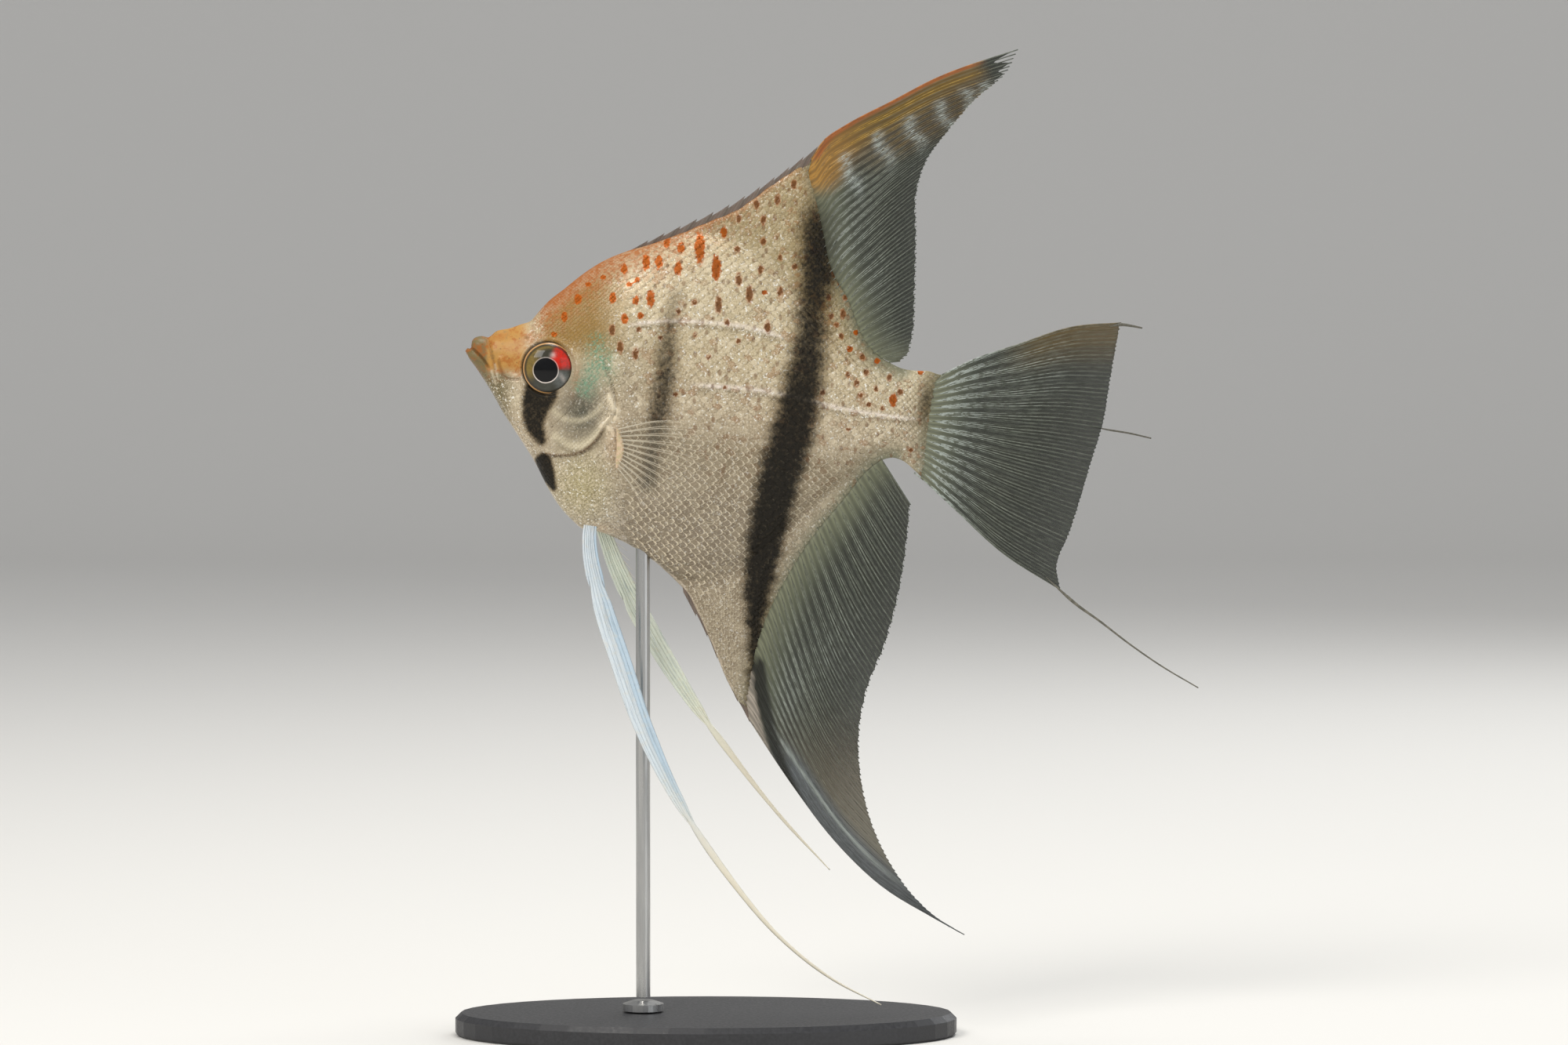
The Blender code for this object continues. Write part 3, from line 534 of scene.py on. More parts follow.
def head_relief(u, w):
    """Height of the head's folds, nostril, gill edge and eye socket."""
    h = 0.24 * blob(u, w, (2.4, 1.4), (1.2, 0.7), -28) - 0.42 * stroke(u, w, MOUTH, 0.17)
    for line, height, half in FOLDS:
        h += height * stroke(u, w, line, half)
    away, side, share = to_line(u, w, GILL_EDGE)
    lip = 0.62 * np.exp(-away / 1.5) * ease(away, 0, 0.14)
    plate = np.where(side > 0, lip, -0.36 * swell(away, 0.36))
    h += plate * ease(1 - share, 0, 0.25) * ease(share, 0, 0.05)
    from_nostril = np.hypot(u - NOSTRIL[0], w - NOSTRIL[1])
    h += 0.08 * swell(from_nostril, 0.25, 0.55) - 0.3 * swell(from_nostril, 0.26)
    from_eye = np.hypot(u - EYE_U, w - EYE_W)
    h += 0.24 * swell(from_eye, 0.4, 5.0) - 0.45 * swell(from_eye, 0.25, 4.45)
    return h - 1.6 * ease(4.3 - from_eye, 0, 1.0)


def relief(u, w):
    """Height of the skin's folds over the smooth flesh, for points of the side view."""
    out = np.zeros_like(u)
    near = u < HEAD_LONG
    out[near] = head_relief(u[near], w[near])
    out += 0.08 * stroke(u, w, SIDE_LINE_HIGH, 0.35) + 0.1 * stroke(u, w, SIDE_LINE_LOW, 0.35)
    return out


FIN_SEAMS = (DORSAL_SEAM[:12], ANAL_SEAM[:11], TAIL_SEAM)


def seam_distance(u, w):
    """How far points of the flesh lie from the nearest soft fin."""
    return np.minimum.reduce([to_line(u, w, seam)[0] for seam in FIN_SEAMS])


def near_fin(u, w):
    """1 where flesh and soft fin meet, fading over a few millimetres to both sides."""
    return swell(seam_distance(u, w), 2.6)


@functools.lru_cache(maxsize=1)
def flank():
    """The fish's side as rings of evenly spaced points from belly to back."""
    fine = np.linspace(*FLANK_SPAN, 3000)
    steep = np.abs(np.gradient(top(fine), fine)) + np.abs(np.gradient(under(fine), fine))
    rings = np.where(fine < 27, HEAD_RINGS, BODY_RINGS) + STEEP_RINGS * steep.clip(0, 14)
    run = np.cumsum(rings)
    evenly = np.linspace(run[0], run[-1], int(run[-1] * (fine[1] - fine[0])))
    stations = np.interp(evenly, run, fine)
    low = under(stations) + COAT_DEPTH
    high = top(stations) - COAT_DEPTH - 0.8 * ease(stations, 80.6, 83.2)
    share = (1 - np.cos(np.linspace(0, math.pi, 241))) / 2
    w = low[:, None] + (high - low)[:, None] * share
    u = np.repeat(stations[:, None], len(share), 1)
    inwards = np.minimum(w - low[:, None], high[:, None] - w) / EDGE_ROUND
    y = (half_thickness(u, w) - COAT_DEPTH) * np.sqrt(1 - (1 - inwards.clip(0, 1)) ** 2)
    to_fins, to_tail = seam_distance(u, w), to_line(u, w, TAIL_SEAM)[0]
    thinning = np.minimum(ease(to_fins, 0, SEAM_TAPER), ease(to_tail, 0, TAIL_TAPER))
    y = y * (THINNEST + (1 - THINNEST) * thinning)
    steps = np.hypot(np.diff(w, axis=1, prepend=w[:, :1]), np.diff(y, axis=1, prepend=0))
    arc = np.cumsum(steps, axis=1)
    axis = AXIS_SLOPE * stations
    points = np.zeros((len(stations), RING_STEPS + 1, 3))
    points[..., 0] = stations[:, None]
    start = np.zeros(len(stations))
    for i in range(len(stations)):
        even = np.linspace(0, arc[i, -1], RING_STEPS + 1)
        points[i, :, 1] = np.interp(even, arc[i], y[i])
        points[i, :, 2] = np.interp(even, arc[i], w[i])
        start[i] = -np.interp(axis[i], w[i], arc[i]) - min(axis[i] - low[i], 0)
    points[:, [0, -1], 1] = 0
    normals = np.cross(np.gradient(points, axis=1), np.gradient(points, axis=0))
    normals /= np.linalg.norm(normals, axis=2)[..., None]
    normals[:, [0, -1], 1] = 0
    points += normals * relief(points[..., 0], points[..., 2])[..., None]
    return Flank(stations, points, normals, start, start + arc[:, -1])


def on_flank(u, a, side):
    """Points and outward normals on the skin, a millimetres round the flank from its axis."""
    f = flank()
    i = np.clip(np.searchsorted(f.stations, u) - 1, 0, len(f.stations) - 2)
    part = np.clip((u - f.stations[i]) / (f.stations[i + 1] - f.stations[i]), 0, 1)
    point, normal = 0, 0
    for k, weight in ((i, 1 - part), (i + 1, part)):
        q = (a - f.start[k]) / (f.end[k] - f.start[k])
        over = np.where((q < 0) | (q > 1), -1.0, 1.0)
        q = np.clip(np.where(q < 0, -q, np.where(q > 1, 2 - q, q)), 0, 1) * RING_STEPS
        j = np.minimum(q.astype(int), RING_STEPS - 1)
        r = (q - j)[..., None]
        flip = np.stack([np.ones_like(over), over * side, np.ones_like(over)], -1)
        scale = weight[..., None] * flip
        point = point + scale * (f.points[k, j] * (1 - r) + f.points[k, j + 1] * r)
        normal = normal + scale * (f.normals[k, j] * (1 - r) + f.normals[k, j + 1] * r)
    return point, normal / np.linalg.norm(normal, axis=-1)[..., None]


# ---- Paint in the side view ---------------------------------------------------------------


def lay(base, paint, weight):
    """Paint laid over a base colour where weight is above 0."""
    return base + (np.array(paint) - base) * np.clip(weight, 0, 1)[..., None]


def laid(base, *coats):
    """A base colour under coats that are laid in order, each a colour and its weight."""
    for paint, weight in coats:
        base = lay(base, paint, weight)
    return base


def plain(where, paint):
    """One colour for all places."""
    return np.zeros((*np.shape(where), 3)) + np.array(paint)


def tapered(u, w, line, halves, soft):
    """A patch along a line, its half-width running through halves."""
    away, _, share = to_line(u, w, line)
    half = np.interp(share, np.linspace(0, 1, len(halves)), halves)
    return ease(half - away, -soft, soft)


def crossing(w, line):
    """The u where a line of (w, u) that runs downwards crosses w."""
    return np.interp(-w, [-p for p, q in line], [q for p, q in line])


def main_bar(u, w):
    """How dark the tall bar is, 0 to 1."""
    waver = 0.2 * np.sin(w * 1.3) + 0.15 * np.sin(w * 2.9 + 1)
    inside = np.minimum(u - crossing(w, BAR_FRONT) + waver, crossing(w, BAR_BACK) - u - waver)
    main = ease(inside / (1.7 + 1.1 * ease(w, -40, 0)), -1, 0.9)
    faded = 0.12 * blob(u, w, (57, 6), (8, 9))
    return main * ease(30.5 - w, 0, 9) * (0.97 - faded - 0.18 * ease(w, 14, 28))


def bars(u, w):
    """How dark the bars and patches are, 0 to 1."""
    main = main_bar(u, w)
    away, _, share = to_line(u, w, SHOULDER_BAR)
    half = 0.9 + 1.0 * np.sin(math.pi * share.clip(0.05, 0.85))
    second = (0.71 - 0.26 * ease(w, -4, 10)) * ease(half - away, -2.2, 1.6)
    patch = 0.93 * tapered(u, w, EYE_PATCH, EYE_PATCH_HALF, 0.8)
    throat = tapered(u, w, THROAT_PATCH, THROAT_PATCH_HALF, 0.5)
    root = 0.5 * blob(u, w, (80.3, -9.2), (1.6, 4.2), -12) + 0.16 * ease(u, 78.5, 81)
    return np.maximum.reduce([main, second, patch, throat, root])


def flecks(u, w, spots, spread):
    """A field that is above 0 inside the flecks and reaches 1 in their middles."""
    out = np.full(np.shape(u), -1.0)
    for middle_u, middle_w, half in spots:
        close = np.abs(u - middle_u) < 2.5
        du = (u[close] - middle_u) / (spread * (0.75 + 0.25 * half))
        dw = (w[close] - middle_w) / half
        out[close] = np.maximum(out[close], 1 - np.hypot(du, dw))
    return out


def zones(u, w):
    """Weights of the places that several coats share, and the depth below the back."""
    sheen_patch = np.maximum(0.8 * stroke(u, w, SHEEN_LINE, 1.9), blob(u, w, (24.2, -1.6), (1.9, 3.0), 12))
    return types.SimpleNamespace(
        from_top=top(u) - w, nape=ease(u, 11.5, 15), sheen_patch=sheen_patch, seam=near_fin(u, w), dark=bars(u, w),
        above=ease(w - body_top(u), -2.5, 3.0), below=ease(body_under(u) - w, -2.5, 3.0),
    )


def flesh_coats(u, w, paint, z):
    """The colours of skin and scales in the order in which they are laid, with their weights."""
    nape = 0.9 * z.nape * ease(31 - u, 0, 9) * ease(w, -3.5, 2.5)
    folds = ((MOUTH, 0.5), (LIP_FOLD_HIGH, 0.4), (CHEEK_FOLD, 0.4), (GILL_EDGE[:5], 0.65))
    beads = 0.8 + 0.2 * np.cos(u * 4.1)
    return (
        # Sides, belly and fin bases
        (paint.upper_flank, 0.8 * ease(w - AXIS_SLOPE * u, -8, 10)),
        (paint.belly, 0.9 * ease(AXIS_SLOPE * u - w, 8, 26)),
        (paint.fin_base, 0.85 * z.above),
        (paint.flank, 0.6 * z.below),
        (paint.cheek, 0.22 * blob(u, w, (28.5, -4), (3.5, 9))),
        (paint.silver, 0.5 * ease(u, 68, 76) * ease(82 - u, 0, 4) * ease(w, -9, -3)),
        (paint.olive, 0.2 * z.above),
        (paint.chest, 0.85 * blob(u, w, (20.5, -23.5), (5.5, 6.5))),
        # Gill cover, and the pink by the paired fins
        (paint.cheek, 0.9 * ease(25.5 - u, -2, 3) * blob(u, w, (20.6, -10.4), (4.4, 5.6))),
        # Painted highlights along the cheek disc's pale edge and across its plate, and a painted shade line
        # just inside the edge
        (paint.silver, 0.8 * stroke(u, w, DISC_EDGE, 0.8)),
        (paint.silver, 0.55 * stroke(u, w, PLATE_GLEAM, 0.55)),
        (paint.grit, 0.5 * stroke(u, w, shifted(DISC_EDGE, 0.5, -1.0), 0.5)),
        (paint.silver, 0.4 * blob(u, w, (8.9, -8.6), (1.4, 3.4), 28)),
        *((paint.rim, 1.2 * stroke(u, w, ridge, 0.6)) for ridge in BONE_RIDGES),
        # painted green sheen on the gill cover
        (paint.sheen, 0.4 * z.sheen_patch),
        (paint.blush, 0.85 * blob(u, w, (26.4, -16.6), (1.5, 3.2))),
        (paint.blush, 0.6 * blob(u, w, (23.4, -31.0), (2.4, 1.0), -10)),
        # Golden nape and back, and painted highlights (gleams) on the flank
        (paint.olive, nape * ease(z.from_top, 0.5, 4)),
        (paint.crown, 0.86 * swell(z.from_top, 3.2) * z.nape * ease(47 - u, 0, 30)),
        (paint.crown, 0.55 * swell(z.from_top, 1.1) * ease(u, 28, 36) * ease(62 - u, 0, 3)),
        (paint.olive, 0.2 * blob(u, w, (66.5, 3), (5, 9))),
        # painted highlights: pale gleams on the lower flank and the shoulder
        (paint.rim, 0.35 * blob(u, w, (60, -20), (5, 8))),
        (paint.rim, 0.3 * blob(u, w, (37, 9), (8, 6), -10)),
        (paint.snout, 0.75 * blob(u, w, (60.4, 31), (2.4, 4.2), 8)),
        # Snout, lips and jaw, and the shadows in the folds
        (paint.snout, 0.96 * ease(12.2 - u, 0, 3) * ease(w + 5.0, 0, 2.6)),
        (paint.crown, 0.5 * blob(u, w, (11.6, 2.3), (1.6, 0.9), 10)),
        (paint.crown, 0.4 * blob(u, w, (6.0, 2.6), (1.8, 0.6), 16)),
        (paint.lip, 0.9 * ease(9.5 - u, 0, 3.5) * ease(-3.6 - w, -1.2, 1.2)),
        (paint.lip, 0.9 * ease(4.3 - u, 0, 0.9)),
        *((paint.rim, 0.55 * stroke(u, w, streak, 0.2)) for streak in MAXILLA_STREAKS),
        (paint.crown, 0.4 * blob(u, w, (19.5, -4.8), (0.6, 2.4), -14)),
        *((paint.fleck, weight * stroke(u, w, fold, 0.24)) for fold, weight in folds),
        # Where fins meet the flesh with painted shade at the join, the side lines over their painted
        # shadows, and the bars' ground
        (paint.seam, 0.85 * z.seam),
        # painted shade right where the fins meet the flesh
        (np.array(paint.seam) * 0.62, 0.35 * z.seam**4),
        (paint.grit, 0.5 * stroke(u, w + 0.75, SIDE_LINE_HIGH, 0.5)),
        (SIDE_LINE_PALE, 0.9 * beads * stroke(u, w, SIDE_LINE_HIGH, 0.32)),
        (paint.grit, 0.5 * stroke(u, w + 0.75, SIDE_LINE_LOW, 0.5)),
        (SIDE_LINE_PALE, 0.9 * beads * stroke(u, w, SIDE_LINE_LOW, 0.32)),
        (paint.olive, 0.6 * z.dark),
    )


def flesh_paint(u, w, paint):
    """Colours and fields of the markings for points of the side view."""
    z = zones(u, w)
    face = ease(12.6 - u, 0, 2.5) * ease(w + 6, 0, 3)
    plate = ease(26 - u, 0, 3) * ease(w, -19, -16) * ease(2 - w, 0, 5) * ease(u, 11, 15)
    crest = ease(6.5 - z.from_top, 0, 4) * ease(46 - u, 0, 18)
    brow = z.nape * np.maximum(crest, ease(w, -2, 3) * ease(31 - u, 0, 9))
    shine = (1 - face) * (1 - 0.9 * z.dark) * (1 - 0.8 * z.seam) * (1 - 0.94 * brow)
    return {
        "tint": laid(plain(u, paint.flank), *flesh_coats(u, w, paint, z)),
        "dark": z.dark,
        "red": flecks(u, w, ORANGE_DASHES, FLECK_HALF),
        "brown": flecks(u, w, BROWN_FLECKS, FLECK_HALF * 0.75),
        "net": ease(AXIS_SLOPE * u - w, 1, 13) * ease(u, 23, 30) * (1 - 0.25 * z.below) * (1 - z.seam),
        "speck": ease(w - AXIS_SLOPE * u, -22, -8) * ease(u, 26, 34) * ease(z.from_top, 0, 3),
        "gold": swell(z.from_top, 6) * ease(u, 10, 14) * ease(60 - u, 0, 30),
        "shine": shine * (1 - 0.4 * z.above) * (1 - 0.72 * plate),
        "face": face,
        "sheen_patch": z.sheen_patch,
    }


# ---- Meshes -------------------------------------------------------------------------------


def grid_faces(rows, columns, wrap=False):
    """Quads over rows times columns of points, closed round the columns if wrapped."""
    index = np.arange(rows * columns).reshape(rows, columns)
    if wrap:
        index = np.hstack([index, index[:, :1]])
    corners = (index[:-1, :-1], index[:-1, 1:], index[1:, 1:], index[1:, :-1])
    return np.stack(corners, -1).reshape(-1, 4)


def tube_faces(loops, sides):
    last = (loops - 1) * sides
    caps = np.array([np.arange(sides)[::-1], last + np.arange(sides)])
    return [grid_faces(loops, sides, True), caps]


def plate_faces(rows, columns):
    """A closed plate from two like grids, front then back."""
    front, count = grid_faces(rows, columns), rows * columns
    index = np.arange(count).reshape(rows, columns)
    rim = np.concatenate([index[0], index[1:, -1], index[-1, -2::-1], index[-2:0:-1, 0]])
    after = np.roll(rim, -1)
    return [front, front[:, ::-1] + count, np.stack([after, rim, rim + count, after + count], 1)]


class Shells:
    """Closed shells gathered for one piece, with values and baking places at their points."""

    def __init__(self):
        self.points, self.faces, self.places, self.values, self.count = [], [], [], {}, 0

    def put(self, points, faces, places=None, **values):
        points = np.asarray(points, float).reshape(-1, 3)
        self.points.append(points)
        self.faces += [np.asarray(group) + self.count for group in faces]
        if places is not None:
            self.places.append(places)
        for name, value in values.items():
            shape = (len(points), 3) if name == "tint" else (len(points),)
            value = np.asarray(value, float)
            full = value.reshape(shape) if value.size == math.prod(shape) else np.broadcast_to(value, shape)
            self.values.setdefault(name, []).append(full)
        self.count += len(points)


def put_in_scene(name, data):
    made = bpy.data.objects.new(name, data)
    bpy.context.scene.collection.objects.link(made)
    return made


def put_values(mesh, name, value):
    """Keeps colours or numbers at a mesh's points."""
    if value.ndim == 2:
        layer = mesh.color_attributes.new(name, "FLOAT_COLOR", "POINT")
        word, value = "color", np.column_stack([value, np.ones(len(value))])
    else:
        layer, word = mesh.attributes.new(name, "FLOAT", "POINT"), "value"
    layer.data.foreach_set(word, value.astype(np.float32).ravel())


def piece(name, shells, material, stands_for=(), second_island=None):
    """One object from gathered shells, riding on the model and wearing a material.

    second_island says which faces lie in the baking map's right half, if any do.
    """
    groups = [group.astype(np.int32) for group in shells.faces]
    corners = np.concatenate([group.ravel() for group in groups])
    sizes = np.concatenate([np.full(len(group), group.shape[1]) for group in groups])
    points = at(np.vstack(shells.points))
    mesh = bpy.data.meshes.new(name)
    mesh.vertices.add(len(points))
    mesh.vertices.foreach_set("co", points.astype(np.float32).ravel())
    mesh.loops.add(len(corners))
    mesh.loops.foreach_set("vertex_index", corners)
    mesh.polygons.add(len(sizes))
    mesh.polygons.foreach_set("loop_start", np.append(0, np.cumsum(sizes)[:-1]).astype(np.int32))
    mesh.update(calc_edges=True)
    for word, value in shells.values.items():
        put_values(mesh, word, np.concatenate(value))
    if shells.places:
        uv = np.vstack(shells.places)[corners]
        if second_island is not None:
            uv[:, 0] += ISLAND_APART * np.repeat(second_island, sizes)
        mesh.uv_layers.new(name="OFBake").data.foreach_set("uv", uv.astype(np.float32).ravel())
    bm = bmesh.new()
    bm.from_mesh(mesh)
    bmesh.ops.recalc_face_normals(bm, faces=bm.faces)
    bm.to_mesh(mesh)
    bm.free()
    mesh.shade_smooth()
    mesh.materials.append(material)
    made = put_in_scene(name, mesh)
    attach(made, "root")
    if stands_for:
        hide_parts(*stands_for)
    return made


# ---- Finishes -----------------------------------------------------------------------------


class Finish:
    """A node material: one Principled shader, what feeds it, and the tint built up so far."""

    def __init__(self, name, tint=None, **constants):
        self.material = bpy.data.materials.new(name)
        self.material.use_nodes = True
        self.tree = self.material.node_tree
        self.shader = self.tree.nodes["Principled BSDF"]
        for word, value in constants.items():
            self.feed(word.replace("_", " "), value)
        self.place = self.node("TexCoord").outputs["Object"]
        self.tint = self.field("tint", "Color") if tint is None else (*tint, 1)

    def join(self, socket, value):
        if isinstance(value, bpy.types.NodeSocket):
            self.tree.links.new(value, socket)
        else:
            socket.default_value = value

    def feed(self, word, value):
        self.join(self.shader.inputs[word], value)

    def node(self, kind, sockets=None, **settings):
        """A new node with its settings, and with numbers or links in its sockets."""
        node = self.tree.nodes.new("ShaderNode" + kind)
        for word, value in settings.items():
            setattr(node, word, value)
        for word, value in (sockets or {}).items():
            self.join(node.inputs[word], value)
        return node

    def field(self, name, output="Fac"):
        return self.node("Attribute", attribute_name=name).outputs[output]

    def math(self, operation, a, b=0.5):
        return self.node("Math", {0: a, 1: b}, operation=operation).outputs[0]

    def times(self, a, b):
        return self.math("MULTIPLY", a, b)

    def plus(self, a, b):
        return self.math("ADD", a, b)

    def lay(self, colour, *shares, blend="MIX"):
        """Lays a colour over the tint, by the product of its shares."""
        sockets = {0: functools.reduce(self.times, shares), 6: self.tint, 7: (*colour, 1)}
        self.tint = self.node("Mix", sockets, data_type="RGBA", blend_type=blend).outputs[2]

    def span(self, value, low, high, start=0.0, end=1.0):
        """value's run from low to high as a smooth run from start to end."""
        sockets = dict(enumerate((value, low, high, start, end)))
        return self.node("MapRange", sockets, interpolation_type="SMOOTHSTEP").outputs[0]

    def noise(self, scale, detail=3.0, rough=0.5, stretch=None):
        """Cloudy noise of so many spots to the metre."""
        place = self.stretched(stretch)
        sockets = {"Scale": scale, "Detail": detail, "Roughness": rough, "Vector": place}
        return self.node("TexNoise", sockets).outputs["Fac"]

    def waver(self, scale, detail, rough, depth):
        """The same noise running both ways from 0."""
        return self.times(self.math("SUBTRACT", self.noise(scale, detail, rough), 0.5), depth)

    def cells(self, scale, stretch=None):
        sockets = {"Scale": scale, "Vector": self.stretched(stretch)}
        return self.node("TexVoronoi", sockets).outputs["Distance"]

    def ray_space(self, across, along):
        """Places counted in rays across a fin and from root to edge along it."""
        sockets = {0: self.times(self.field("phase"), across), 1: self.times(self.field("out"), along)}
        return self.node("CombineXYZ", sockets).outputs[0]

    def stretched(self, stretch):
        if stretch is None:
            return self.place
        if isinstance(stretch, bpy.types.NodeSocket):
            return stretch
        return self.node("Mapping", {"Scale": stretch, "Vector": self.place}).outputs[0]

    def done(self, rough, height, depth, strength=0.5):
        """Feeds tint, roughness and a bump so many millimetres deep. Gives the material."""
        sockets = {"Distance": depth * MM, "Strength": strength, "Height": height}
        self.feed("Base Color", self.tint)
        self.feed("Roughness", rough)
        self.feed("Normal", self.node("Bump", sockets).outputs[0])
        return self.material


# colours of the flesh's painted glitter: dark specks of painted shade, glints of painted highlight
GRAIN_SHADOW, GLITTER_HIGHLIGHT = (0.64, 0.6, 0.54), (0.9, 0.88, 0.8)


def flesh_finish(name, paint, scaled):
    """Wet silvery flesh with its markings and painted glitter. Scaled, it also has each scale's pale rim.
    """
    f = Finish(name, Coat_Roughness=0.2, Specular_IOR_Level=0.2)
    net, shine, face, speck = (f.field(word) for word in ("net", "shine", "face", "speck"))
    if scaled:
        tone = f.field("tone")
        edge = f.plus(f.field("edge"), f.times(f.noise(2600), 0.06))
        f.lay(paint.grit, f.span(tone, 0, 0.5, 0.22, 0.0), shine)
        f.lay(paint.rim, f.span(tone, 0.55, 1.0, 0.0, 0.45), shine)
        f.lay(paint.crown, f.span(tone, 0.2, 0.05, 0.0, 0.24), speck)
        f.lay(paint.grit, f.span(edge, 1.0, 0.8), f.span(net, 0, 1, 0.0, 0.66))
        f.lay(paint.rim, f.span(edge, 0.9, 0.95), f.span(net, 0, 1, 0.08, 1.0))
    grain = f.noise(3400, 3, 0.6)
    # Painted glitter where the flesh shines: dark specks of painted shade, pale specks and glints of
    # painted highlight
    painted_glitter = f.times(shine, f.span(net, 0, 1, 1.0, 0.4))
    f.lay(GRAIN_SHADOW, f.span(grain, 0.47, 0.36, 0.0, 0.75), painted_glitter, blend="MULTIPLY")
    f.lay(paint.rim, f.span(grain, 0.53, 0.64, 0.0, 0.7), painted_glitter)
    f.lay(paint.grit, f.span(f.noise(420, 4, 0.6), 0.5, 0.72, 0.0, 0.12))
    f.lay(GLITTER_HIGHLIGHT, f.span(f.noise(2300, 2, 0.5), 0.61, 0.68, 0.0, 0.8), painted_glitter)
    f.lay(paint.crown, f.field("gold"), f.span(f.noise(1300, 4, 0.65), 0.42, 0.6, 0.0, 0.75))
    # painted green sheen, speckled
    f.lay(paint.sheen, f.field("sheen_patch"), f.span(f.noise(2000, 3, 0.6), 0.46, 0.6, 0.1, 0.9))
    blotch = f.noise(650, 5, 0.7)
    f.lay(paint.crown, face, f.span(blotch, 0.46, 0.64, 0.0, 0.7))
    f.lay(paint.lip, face, f.span(blotch, 0.44, 0.3, 0.0, 0.5))
    f.lay(paint.fleck, face, f.span(f.cells(900), 0.16, 0.1, 0.0, 0.45))
    f.lay(paint.fleck, f.span(f.cells(620, (1, 1, 0.6)), 0.27, 0.14), speck, 0.5)
    waver = f.waver(1500, 3, 0.6, 1.1)
    brown, red = f.plus(f.field("brown"), waver), f.plus(f.field("red"), waver)
    f.lay(paint.dash, f.span(brown, -0.35, 0.1, 0.0, 0.4))
    f.lay(paint.fleck, f.span(brown, -0.05, 0.3), 0.9)
    dash = f.span(red, -0.05, 0.3)
    f.lay(paint.dash, dash, 0.95)
    f.lay(paint.fleck, f.span(red, 0.3, 0.9, 0.0, 0.4))
    dark = f.field("dark")
    ragged = f.plus(dark, f.times(f.waver(1500, 5, 0.75, 1.1), f.span(dark, 0.05, 0.5)))
    f.lay(paint.bar, f.span(ragged, 0.0, 1.0, 0.0, 0.985))
    f.feed("Coat Weight", f.span(f.math("MAXIMUM", dark, dash), 0, 1, 0.16, 0.02))
    f.feed("Metallic", f.math("MAXIMUM", f.times(shine, 0.16), f.times(dash, 0.5)))
    rough = f.plus(f.span(grain, 0.35, 0.65, 0.5, 0.34), f.span(shine, 1, 0, 0.0, 0.14))
    return f.done(rough, f.noise(3200, 4, 0.6), 0.04, 0.4)


# ---- Skin and scales ----------------------------------------------------------------------

UNWRAP = 0.0052  # size of a millimetre of flank in the baking map
ISLAND_APART = 0.48  # from the left flank's island in that map to the right's
SCALE_PATCH = (0.0026, 0.0013)  # size of a scale's own patch in it
SCALE_LONG, SCALE_WIDE = 1.62, 2.16  # a scale's size as a share of pitch and row
SCALE_STRAY = 0.035  # how far scales stray from their places, as a share of the pitch
SCALE_ROOT = 0.03  # depth of a scale's root in the skin
BARE_AT_EYE, BARE_AT_RIDGE, LAST_SCALE = 5.5, 0.8, 81.6
FLESH_NODES = (
    "head", "upper_lip", "lower_jaw", "gill_cover_left", "gill_cover_right", "trunk",
    "tail_peduncle", "dorsal_fin_spiny", "anal_fin_spiny",
)


def bake_place(u, a, right=False):
    """A skin point's place in the baking map, in the left flank's island or the right's."""
    return np.stack([0.02 + UNWRAP * u + ISLAND_APART * right, 0.02 + UNWRAP * (a + 66)], -1)


def make_skin(settings):
    f = flank()
    count, ring = len(f.points), 2 * RING_STEPS
    left = f.points * (1, -1, 1)
    rings = np.concatenate([left, f.points[:, -2:0:-1]], 1)
    arcs = f.start[:, None] + (f.end - f.start)[:, None] * np.linspace(0, 1, RING_STEPS + 1)
    arcs = np.concatenate([arcs, arcs[:, -2:0:-1]], 1)
    ends = [rings[0].mean(0) - (0.06, 0, 0), rings[-1].mean(0) + (0.05, 0, 0)]
    points = np.vstack([rings.reshape(-1, 3), ends])
    k = np.arange(ring)
    after = np.roll(k, -1)
    nose, tail = count * ring, count * ring + 1
    last = (count - 1) * ring
    caps = np.vstack([
        np.stack([np.full(ring, nose), after, k], 1),
        np.stack([np.full(ring, tail), last + k, last + after], 1),
    ])
    along = np.append(rings[..., 0].ravel(), [0, TAIL_ROOT])
    around = np.append(arcs.ravel(), [arcs[0].mean(), arcs[-1].mean()])
    shells = Shells()
    shells.put(points, [grid_faces(count, ring, True), caps], bake_place(along, around),
               **flesh_paint(points[:, 0], points[:, 2], settings.flesh))
    finish = flesh_finish("wet_skin", settings.flesh, scaled=False)
    piece("skin", shells, finish, FLESH_NODES, np.tile(k >= RING_STEPS, count + 1))


def ray_lean(u, w):
    """The direction in which scales point at a place of the side view, in radians."""
    lean = np.full(np.shape(u), math.atan(AXIS_SLOPE))
    up = ease(w - body_top(u), -1.0, 5.0)
    down = ease(body_under(u) - w, -1.0, 6.0)
    lean = lean + up * (math.radians(34) - lean)
    lean = lean + down * (math.radians(-52) - lean)
    return lean


def flesh_zone(u, w):
    """Shares of fin base and head at a place of the side view."""
    up = ease(w - body_top(u), 0.5, 2.5) * (u > 30)
    down = ease(body_under(u) - w, 0.5, 2.5) * (u > 36)
    fin = np.maximum.reduce([up, down, ease(u, 70, 74)])
    _, side, _ = to_line(u, w, GILL_EDGE)
    ahead = np.where((u < 26) & (side > 0) & (w < 14), 1.0, 0.0)
    ahead = np.where(w > 0.5, ease(26.5 - u + 0.12 * w, 0, 2), ahead)
    chest = ease(27.5 - u, 0, 2) * ease(-17.5 - w, 0, 1.5)
    return fin, np.maximum(ahead, chest) * (1 - fin)


